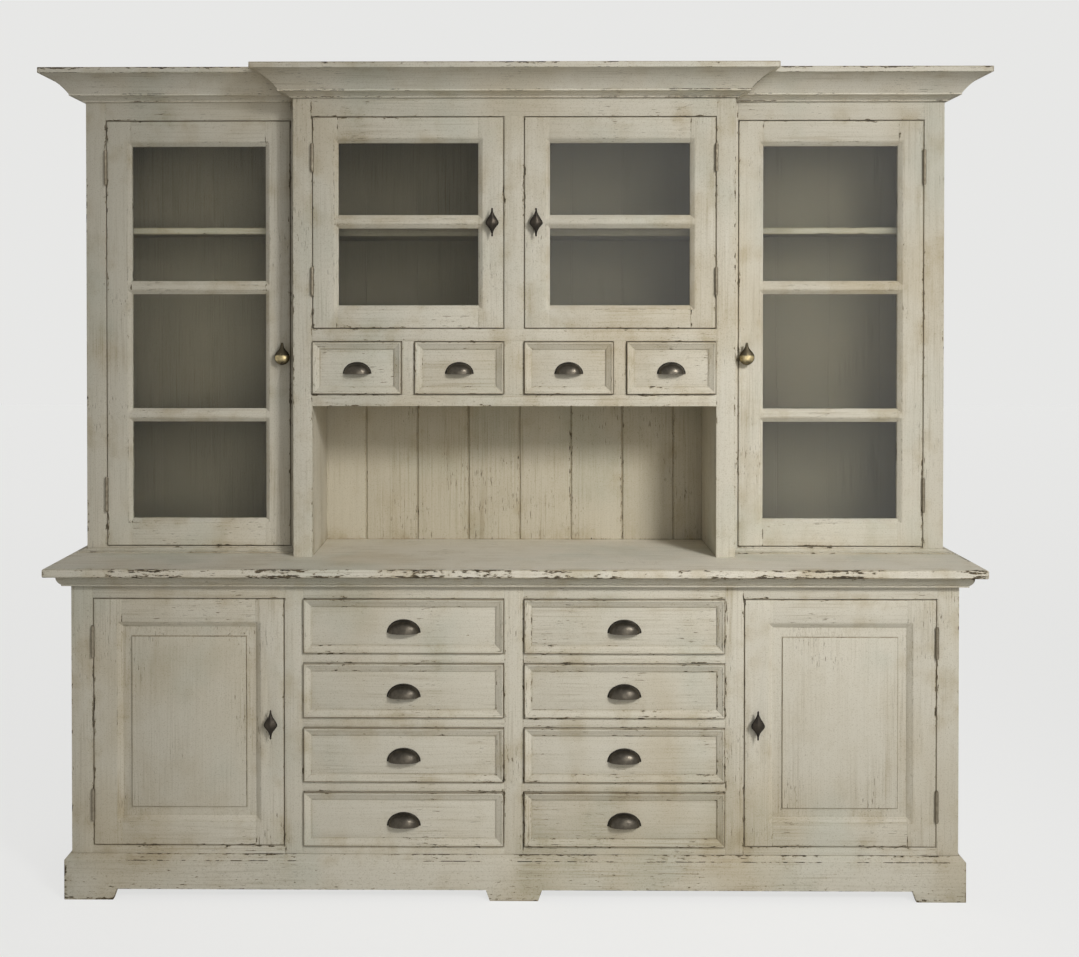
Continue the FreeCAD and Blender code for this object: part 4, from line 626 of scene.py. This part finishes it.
def metal_group():
    """Metal bright where rubbed and dull where not, and on the brass knobs with painted shade too."""
    tree, given, made = new_group(
        "handled_metal",
        (("Metal", COLOUR, (0.1, 0.08, 0.06, 1)), ("Tarnish", COLOUR, (0.02, 0.02, 0.02, 1)),
         ("Amount", FLOAT, 0.5), ("Smooth", FLOAT, 0.3), ("Rough", FLOAT, 0.6)),
        (("Colour", COLOUR), ("Roughness", FLOAT), ("Height", FLOAT), ("Metallic", FLOAT)))
    here = place(tree, "ShaderNodeTexCoord").outputs["Object"]
    dull_and_shade = place(tree, "ShaderNodeAttribute", attribute_name="dull_and_shade").outputs["Fac"]
    clouds = grain_noise(tree, here, (95, 95, 95), 4)
    grit = grain_noise(tree, here, (900, 900, 900), 2)
    veil = sums(tree, "ADD", spread(tree, clouds, 0.35, 0.65, 0, 0.4), dull_and_shade, clamp=True)
    veil = sums(tree, "MULTIPLY", veil, given.outputs["Amount"])
    colour = blend(tree, veil, given.outputs["Metal"], given.outputs["Tarnish"])
    colour = blend(tree, spread(tree, grit, 0.5, 0.75, 0, 0.3), colour, given.outputs["Tarnish"])
    rough = place(tree, "ShaderNodeMapRange", {"Value": veil, "To Min": given.outputs["Smooth"],
                                               "To Max": given.outputs["Rough"]})
    tree.links.new(colour, made.inputs["Colour"])
    tree.links.new(rough.outputs["Result"], made.inputs["Roughness"])
    tree.links.new(sums(tree, "ADD", clouds, sums(tree, "MULTIPLY", grit, 0.4)),
                   made.inputs["Height"])
    tree.links.new(spread(tree, veil, 0, 1, 1.0, 0.75), made.inputs["Metallic"])
    return tree


handled_metal = metal_group()
dark_bronze = finish("dark_bronze", handled_metal,
                     {"Metal": linear(92, 86, 76), "Tarnish": linear(40, 36, 30), "Amount": 0.9,
                      "Smooth": 0.25, "Rough": 0.5}, bump=0.00008)


def skin(mesh, rings, closed, dull_and_shade=None, level=0.0):
    """Faces between rings of points; a ring of one point closes the skin there."""
    made = []
    for ring in rings:
        made.append([mesh.verts.new(spot) for spot in ring])
        if dull_and_shade:
            for vertex in made[-1]:
                vertex[dull_and_shade] = level
    for first, second in zip(made, made[1:]):
        count = max(len(first), len(second))
        for index in range(count if closed else count - 1):
            corners = []
            for ring, step in ((first, index), (first, index + 1), (second, index + 1),
                               (second, index)):
                vertex = ring[step % len(ring)] if len(ring) > 1 else ring[0]
                if vertex not in corners:
                    corners.append(vertex)
            mesh.faces.new(corners)
    return made


def oval(share, power=2.0):
    """Across and out for a share of the half turn from one end of an oval to the other."""
    turn = math.pi * share
    return tuple(math.copysign(abs(reach) ** (2 / power), reach)
                 for reach in (math.cos(turn), math.sin(turn)))


def hood_rings(half, deep, high):
    """Levels of the hood from its open lower edge up to where it closes on the drawer."""
    rings = []
    for level in range(LEVELS + 1):
        up = math.sin(math.pi / 2 * level / LEVELS)
        narrow = max(0.0, 1 - up ** FULLNESS) ** (1 / FULLNESS)
        if narrow < HOOD_TIP:
            rings.append([(0, 0, high)])
            break
        ring = [oval(step / RING, FULLNESS) for step in range(RING + 1)]
        rings.append([(half * narrow * a, -deep * narrow * b, high * up) for a, b in ring])
    return rings


def swept(mesh, path, section, dull_and_shade, level):
    """A bar of one section along a path of (middle, outward, up) frames, closed at its ends."""
    rings = [[tuple(middle + outward * a + up * b) for a, b in section]
             for middle, outward, up in path]
    made = skin(mesh, rings, True, dull_and_shade, level)
    mesh.faces.new(made[0])
    mesh.faces.new(list(reversed(made[-1])))


def cup_pull(node, body):
    """One pull, as wide, deep and high as the frame's."""
    low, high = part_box(node)
    half, tall, deep = (high.x - low.x) / 2, high.z - low.z, high.y - low.y
    foot = Vector(((low.x + high.x) / 2, high.y, low.z))
    mesh = bmesh.new()
    dull_and_shade = mesh.verts.layers.float.new("dull_and_shade")
    hood = (half - FLANGE, deep, tall - FLANGE)
    outer_points = skin(mesh, hood_rings(*hood), False)
    for level, ring in enumerate(outer_points):
        for vertex in ring:
            vertex[dull_and_shade] = HOOD_TOP_DULL * level / LEVELS
    inner = hood_rings(*(size - HOOD_WALL for size in hood))
    inner_points = skin(mesh, inner, False, dull_and_shade, HOOD_INSIDE_DULL)
    for step in range(RING):
        mesh.faces.new((outer_points[0][step], outer_points[0][step + 1],
                        inner_points[0][step + 1], inner_points[0][step]))
    up, forward = Vector((0, 0, 1)), Vector((0, -1, 0))
    lip, rim = [], []
    for step in range(RING + 1):
        across, out = oval(step / RING, FULLNESS)
        outward = Vector((across * hood[1], -out * hood[0], 0)).normalized()
        middle = Vector(((hood[0] - LIP) * across, -(hood[1] - LIP) * out, LIP))
        lip.append((middle, outward, up))
        across, out = oval(step / RING)
        outward = Vector((across * tall, 0, out * half)).normalized()
        middle = Vector(((half - FLANGE) * across, 0, (tall - FLANGE) * out))
        rim.append((middle, outward, forward))
    swept(mesh, lip, LIP_SECTION, dull_and_shade, LIP_DULL)
    swept(mesh, rim, RIM_SECTION, dull_and_shade, RIM_DULL)
    bmesh.ops.translate(mesh, verts=mesh.verts, vec=foot)
    bmesh.ops.recalc_face_normals(mesh, faces=mesh.faces)
    shown("cup_" + node, mesh, HOOD_CREASE, (dark_bronze,), node, body)


for drawer in DRAWERS:
    cup_pull(drawer + "_pull", drawer)

# Turn knobs: forged iron spindles on the upper and base doors, brass drops on the tall ones.
# Each turns a flat catch behind its door on a spindle through the stile.
black_iron = finish("black_iron", handled_metal,
                    {"Metal": linear(72, 66, 58), "Tarnish": linear(26, 23, 20), "Amount": 0.85,
                     "Smooth": 0.35, "Rough": 0.6}, bump=0.0004)
aged_brass = finish("aged_brass", handled_metal,
                    {"Metal": linear(196, 178, 134), "Tarnish": linear(44, 38, 27), "Amount": 0.95,
                     "Smooth": 0.26, "Rough": 0.5}, bump=0.00008)
# Each head in millimetres: its outline by height, half width and how dull it is there, how far
# its middle stands off the door, and its depths to the front and back where it is widest.
# A ridge near 1 makes its levels lozenges, and thin says how its depth follows its width
DROP = {"outline": (
    (38, 0.6, 0.6), (37, 2.0, 0.5), (35, 2.6, 0.4), (32.5, 2.2, 0.6), (28, 2.9, 0.6),
    (22, 5.2, 0.5), (16, 8.6, 0.4), (9, 13.2, 0.2), (3, 16.6, 0.1), (-2, 17.8, 0.0),
    (-6, 16.4, 0.1), (-11, 12.2, 0.3), (-17, 7.4, 0.5), (-23, 4.2, 0.6), (-29, 2.6, 0.7),
    (-33, 2.2, 0.6), (-35.5, 2.5, 0.4), (-37, 1.8, 0.5), (-38, 0.6, 0.6)),
    "middle": -18, "front": 9, "back": 7, "ridge": 1.35, "thin": 0.75}
# Brass knob: its dark top and foot are painted shade, its bright middle a painted highlight
BUTTON = {"outline": (
    (40, 1.0, 1), (39.3, 2.6, 1), (37, 3.4, 1), (33, 4.2, 1), (28, 5.4, 1), (24, 7.2, 1),
    (20, 9.8, 1), (16.5, 13.2, 1), (12.5, 16.8, 0.95), (7, 19.6, 0.8), (3, 20.6, 0.1),
    (-2, 20.8, 0.0), (-7, 19.8, 0.1), (-11.5, 17.4, 0.55), (-15.5, 13.9, 0.65),
    (-18.5, 9.6, 0.7), (-20.2, 5.0, 0.8), (-21, 0.8, 1)),
    "middle": -18.5, "front": 9.5, "back": 6.5, "ridge": 2.0, "thin": 0.9}
MILLIMETRES = 1000
ROUND = 24
HEAD_CREASE = 42
BEHIND_FROM = 0.3
BEHIND_DULL = 0.9
ROSE_BACK = 0.0003


def knob_head(mesh, dull_and_shade, outline, middle, front, back, ridge, thin):
    """A head turned flat: every level is an oval, or a lozenge where ridge is near 1."""
    widest = max(wide for _, wide, _ in outline)
    ovals = [oval(2 * step / ROUND, ridge) for step in range(ROUND)]
    rings = []
    for high, wide, _ in outline:
        share = (wide / widest) ** thin
        rings.append([(wide * across / MILLIMETRES,
                       (middle - (front if out > 0 else back) * share * out) / MILLIMETRES,
                       high / MILLIMETRES) for across, out in ovals])
    made = skin(mesh, rings, True)
    for vertices, (_, _, level) in zip(made, outline):
        for step, vertex in enumerate(vertices):
            behind = math.sin(2 * math.pi * step / ROUND) < BEHIND_FROM
            vertex[dull_and_shade] = max(level, BEHIND_DULL if behind else 0.0)
    mesh.faces.new(made[0])
    mesh.faces.new(list(reversed(made[-1])))


def spindle_place(node):
    """Where a knob's spindle meets the door's face: the middle of its rose, at its back."""
    low, high = extent([spot for corners in solids(node)[1] for spot in corners])
    return Vector(((low.x + high.x) / 2, high.y + ROSE_BACK, (low.z + high.z) / 2))


def turn_knob(door, head, metal):
    """The knob of a door: a new head on the frame's rose, neck, spindle and catch."""
    node = door + "_knob"
    mesh = bmesh.new()
    dull_and_shade = mesh.verts.layers.float.new("dull_and_shade")
    knob_head(mesh, dull_and_shade, **head)
    bmesh.ops.recalc_face_normals(mesh, faces=mesh.faces)
    bmesh.ops.translate(mesh, verts=mesh.verts, vec=spindle_place(node))
    for triangles in solids(node)[1:]:
        part, _ = softened(triangles, soft=0.0006)
        copy = {vertex: mesh.verts.new(vertex.co) for vertex in part.verts}
        for vertex in copy.values():
            vertex[dull_and_shade] = BEHIND_DULL
        for face in part.faces:
            mesh.faces.new([copy[vertex] for vertex in face.verts])
        part.free()
    shown("turned_" + node, mesh, HEAD_CREASE, (metal,), node, node)


for door in DOORS:
    if door.startswith("side"):
        turn_knob(door, BUTTON, aged_brass)
    else:
        turn_knob(door, DROP, black_iron)

# Hinges: steel butts let into the edge of the door and of the frame.
# They are tarnished; three slotted screws hold each leaf.
old_steel = finish("old_steel", handled_metal,
                   {"Metal": linear(134, 126, 110), "Tarnish": linear(82, 70, 52), "Amount": 0.85,
                    "Smooth": 0.45, "Rough": 0.75}, bump=0.0004)
hinge_nodes = {"hinge_case_leaves": "cabinet"}
hinge_nodes.update({door + "_hinge_leaves": door for door in DOORS})
for node in hinge_nodes:
    leaf_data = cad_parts[node].data
    leaf_data.materials.clear()
    leaf_data.materials.append(old_steel)

# The pins are less deep than this, and the leaves are deeper
PIN_DEPTH = 0.015
SCREW_RADIUS = 0.0034
SCREW_PROFILE = ((1.0, -0.0001), (0.94, 0.00004), (0.6, 0.00011), (0.2, 0.00015))
SCREW_SIDES = 16
SLOT_SHARE = 0.3
SLOT_DEPTH = 0.0002
SCREW_SHARES = (-0.36, 0.0, 0.36)
LEAF_MIDDLE = 0.6


def screw_places(node):
    """Where the screws of a node's leaves go, and which way each leaf looks."""
    spots, looks = [], []
    for triangles in solids(node):
        low, high = extent([spot for face in triangles for spot in face])
        if high.y - low.y < PIN_DEPTH:
            continue
        flats = [face for face in triangles if len({spot[0] for spot in face}) == 1
                 and max(spot[1] for spot in face) > high.y - TOUCH]
        planes = sorted({face[0][0] for face in flats})
        pin = (low.x + high.x) / 2
        near = min(planes, key=lambda x: abs(x - pin))
        for share in SCREW_SHARES:
            spots.append((near, low.y + (high.y - low.y) * LEAF_MIDDLE,
                          (low.z + high.z) / 2 + share * (high.z - low.z)))
            looks.append(-1 if near == planes[0] else 1)
    return spots, looks


def screw_head():
    """A slotted, slightly domed head that faces +X, built once and set by the node tree."""
    mesh = bmesh.new()
    turns = [2 * math.pi * k / SCREW_SIDES for k in range(SCREW_SIDES)]
    made = skin(mesh, [[(out, SCREW_RADIUS * share * math.cos(a), SCREW_RADIUS * share * math.sin(a))
                        for a in turns] for share, out in SCREW_PROFILE], True)
    mesh.faces.new(made[-1])
    bmesh.ops.recalc_face_normals(mesh, faces=mesh.faces)
    for vertex in mesh.verts:
        if abs(vertex.co.y) < SCREW_RADIUS * SLOT_SHARE:
            vertex.co.x -= SLOT_DEPTH
    data = bpy.data.meshes.new("screw_head")
    mesh.to_mesh(data)
    mesh.free()
    return bpy.data.objects.new("screw_head", data)


def screw_tree(head, material):
    """Sets a screw head at every point, turned to the side that its leaf looks to."""
    tree = bpy.data.node_groups.new("hinge_screws", "GeometryNodeTree")
    tree.interface.new_socket("Geometry", in_out="INPUT", socket_type="NodeSocketGeometry")
    size = tree.interface.new_socket("Size", in_out="INPUT", socket_type="NodeSocketFloat")
    size.default_value = 1.0
    tree.interface.new_socket("Geometry", in_out="OUTPUT", socket_type="NodeSocketGeometry")
    given, made = tree.nodes.new("NodeGroupInput"), tree.nodes.new("NodeGroupOutput")
    source = tree.nodes.new("GeometryNodeObjectInfo")
    source.inputs["Object"].default_value = head
    looks = place(tree, "GeometryNodeInputNamedAttribute", {"Name": "looks"}, data_type="FLOAT")
    turn = place(tree, "ShaderNodeCombineXYZ")
    angle = sums(tree, "MULTIPLY", sums(tree, "SUBTRACT", 1.0, looks.outputs["Attribute"]),
                 math.pi / 2)
    tree.links.new(angle, turn.inputs["Z"])
    points = place(tree, "GeometryNodeInstanceOnPoints",
                   {"Points": given.outputs["Geometry"], "Instance": source.outputs["Geometry"],
                    "Rotation": turn.outputs["Vector"], "Scale": given.outputs["Size"]})
    real = place(tree, "GeometryNodeRealizeInstances", {"Geometry": points.outputs["Instances"]})
    coated = place(tree, "GeometryNodeSetMaterial",
                   {"Geometry": real.outputs["Geometry"], "Material": material})
    tree.links.new(coated.outputs["Geometry"], made.inputs["Geometry"])
    return tree, size.identifier


head = screw_head()
screws, size_socket = screw_tree(head, old_steel)
for node, body in hinge_nodes.items():
    spots, looks = screw_places(node)
    points = bpy.data.meshes.new("screw_points")
    points.from_pydata(spots, [], [])
    points.attributes.new("looks", "FLOAT", "POINT").data.foreach_set("value", looks)
    carrier = bpy.data.objects.new("screw_points", points)
    bpy.context.scene.collection.objects.link(carrier)
    setter = carrier.modifiers.new("screws", "NODES")
    setter.node_group = screws
    setter[size_socket] = 1.0
    bpy.context.view_layer.update()
    data = bpy.data.meshes.new_from_object(carrier.evaluated_get(
        bpy.context.evaluated_depsgraph_get()))
    bpy.data.objects.remove(carrier)
    data.name = "screws_" + node
    data.shade_smooth()
    piece = bpy.data.objects.new("screws_" + node, data)
    bpy.context.scene.collection.objects.link(piece)
    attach(piece, body)
bpy.data.objects.remove(head)

# Floor, lamps and background: a plain pale studio, lit from above on the right.
# What the camera sees of the floor is as pale as the background, and it keeps its shadow.
PALE = (0.80, 0.80, 0.79, 1)
FLOOR_SIZE = 40
FLOOR_LIT = (0.62, 0.62, 0.60, 1)
FLOOR_SEEN = (0.20, 0.20, 0.20, 1)
FLOOR_GLOW = 0.86
ROOM_LIGHT = 0.30
floor_data = bpy.data.meshes.new("floor")
half = FLOOR_SIZE / 2
floor_data.from_pydata([(-half, -half, 0), (half, -half, 0), (half, half, 0), (-half, half, 0)], [],
                       [(0, 1, 2, 3)])
floor = bpy.data.objects.new("floor", floor_data)
bpy.context.scene.collection.objects.link(floor)


def shows_background(tree):
    """1 for a ray that shows what is behind the cabinet: straight, mirrored or through glass."""
    rays = tree.nodes.new("ShaderNodeLightPath")
    seen = sums(tree, "MAXIMUM", rays.outputs["Is Camera Ray"], rays.outputs["Is Glossy Ray"])
    return sums(tree, "MAXIMUM", seen, rays.outputs["Is Transmission Ray"])


pale_floor = bpy.data.materials.new("pale_floor")
pale_floor.use_nodes = True
tree = pale_floor.node_tree
floor_shader = tree.nodes["Principled BSDF"]
floor_shader.inputs["Roughness"].default_value = 0.85
floor_shader.inputs["Emission Color"].default_value = PALE
seen = shows_background(tree)
tree.links.new(blend(tree, seen, FLOOR_LIT, FLOOR_SEEN), floor_shader.inputs["Base Color"])
tree.links.new(sums(tree, "MULTIPLY", seen, FLOOR_GLOW), floor_shader.inputs["Emission Strength"])
floor_data.materials.append(pale_floor)


def lamp(name, place_at, aim, power, size, beam):
    """A soft square lamp that points at a spot on the cabinet, with its beam in degrees."""
    data = bpy.data.lights.new(name, "AREA")
    data.energy = power
    data.size = size
    data.spread = math.radians(beam)
    made = bpy.data.objects.new(name, data)
    made.location = place_at
    made.rotation_euler = (Vector(aim) - Vector(place_at)).to_track_quat("-Z", "Y").to_euler()
    bpy.context.scene.collection.objects.link(made)


lamp("key", place_at=(2.8, -4.5, 3.7), aim=(0.35, 0.0, 0.95), power=14.2, size=1.1, beam=43)
lamp("fill", place_at=(1.5, -5.6, 1.7), aim=(0, 0, 0.9), power=61, size=3.3, beam=180)

world = bpy.data.worlds.new("studio")
bpy.context.scene.world = world
world.use_nodes = True
tree = world.node_tree
background = tree.nodes["Background"]
background.inputs["Color"].default_value = PALE
tree.links.new(spread(tree, shows_background(tree), 0, 1, ROOM_LIGHT, 1.0),
               background.inputs["Strength"])
bpy.context.scene.view_settings.view_transform = "Standard"
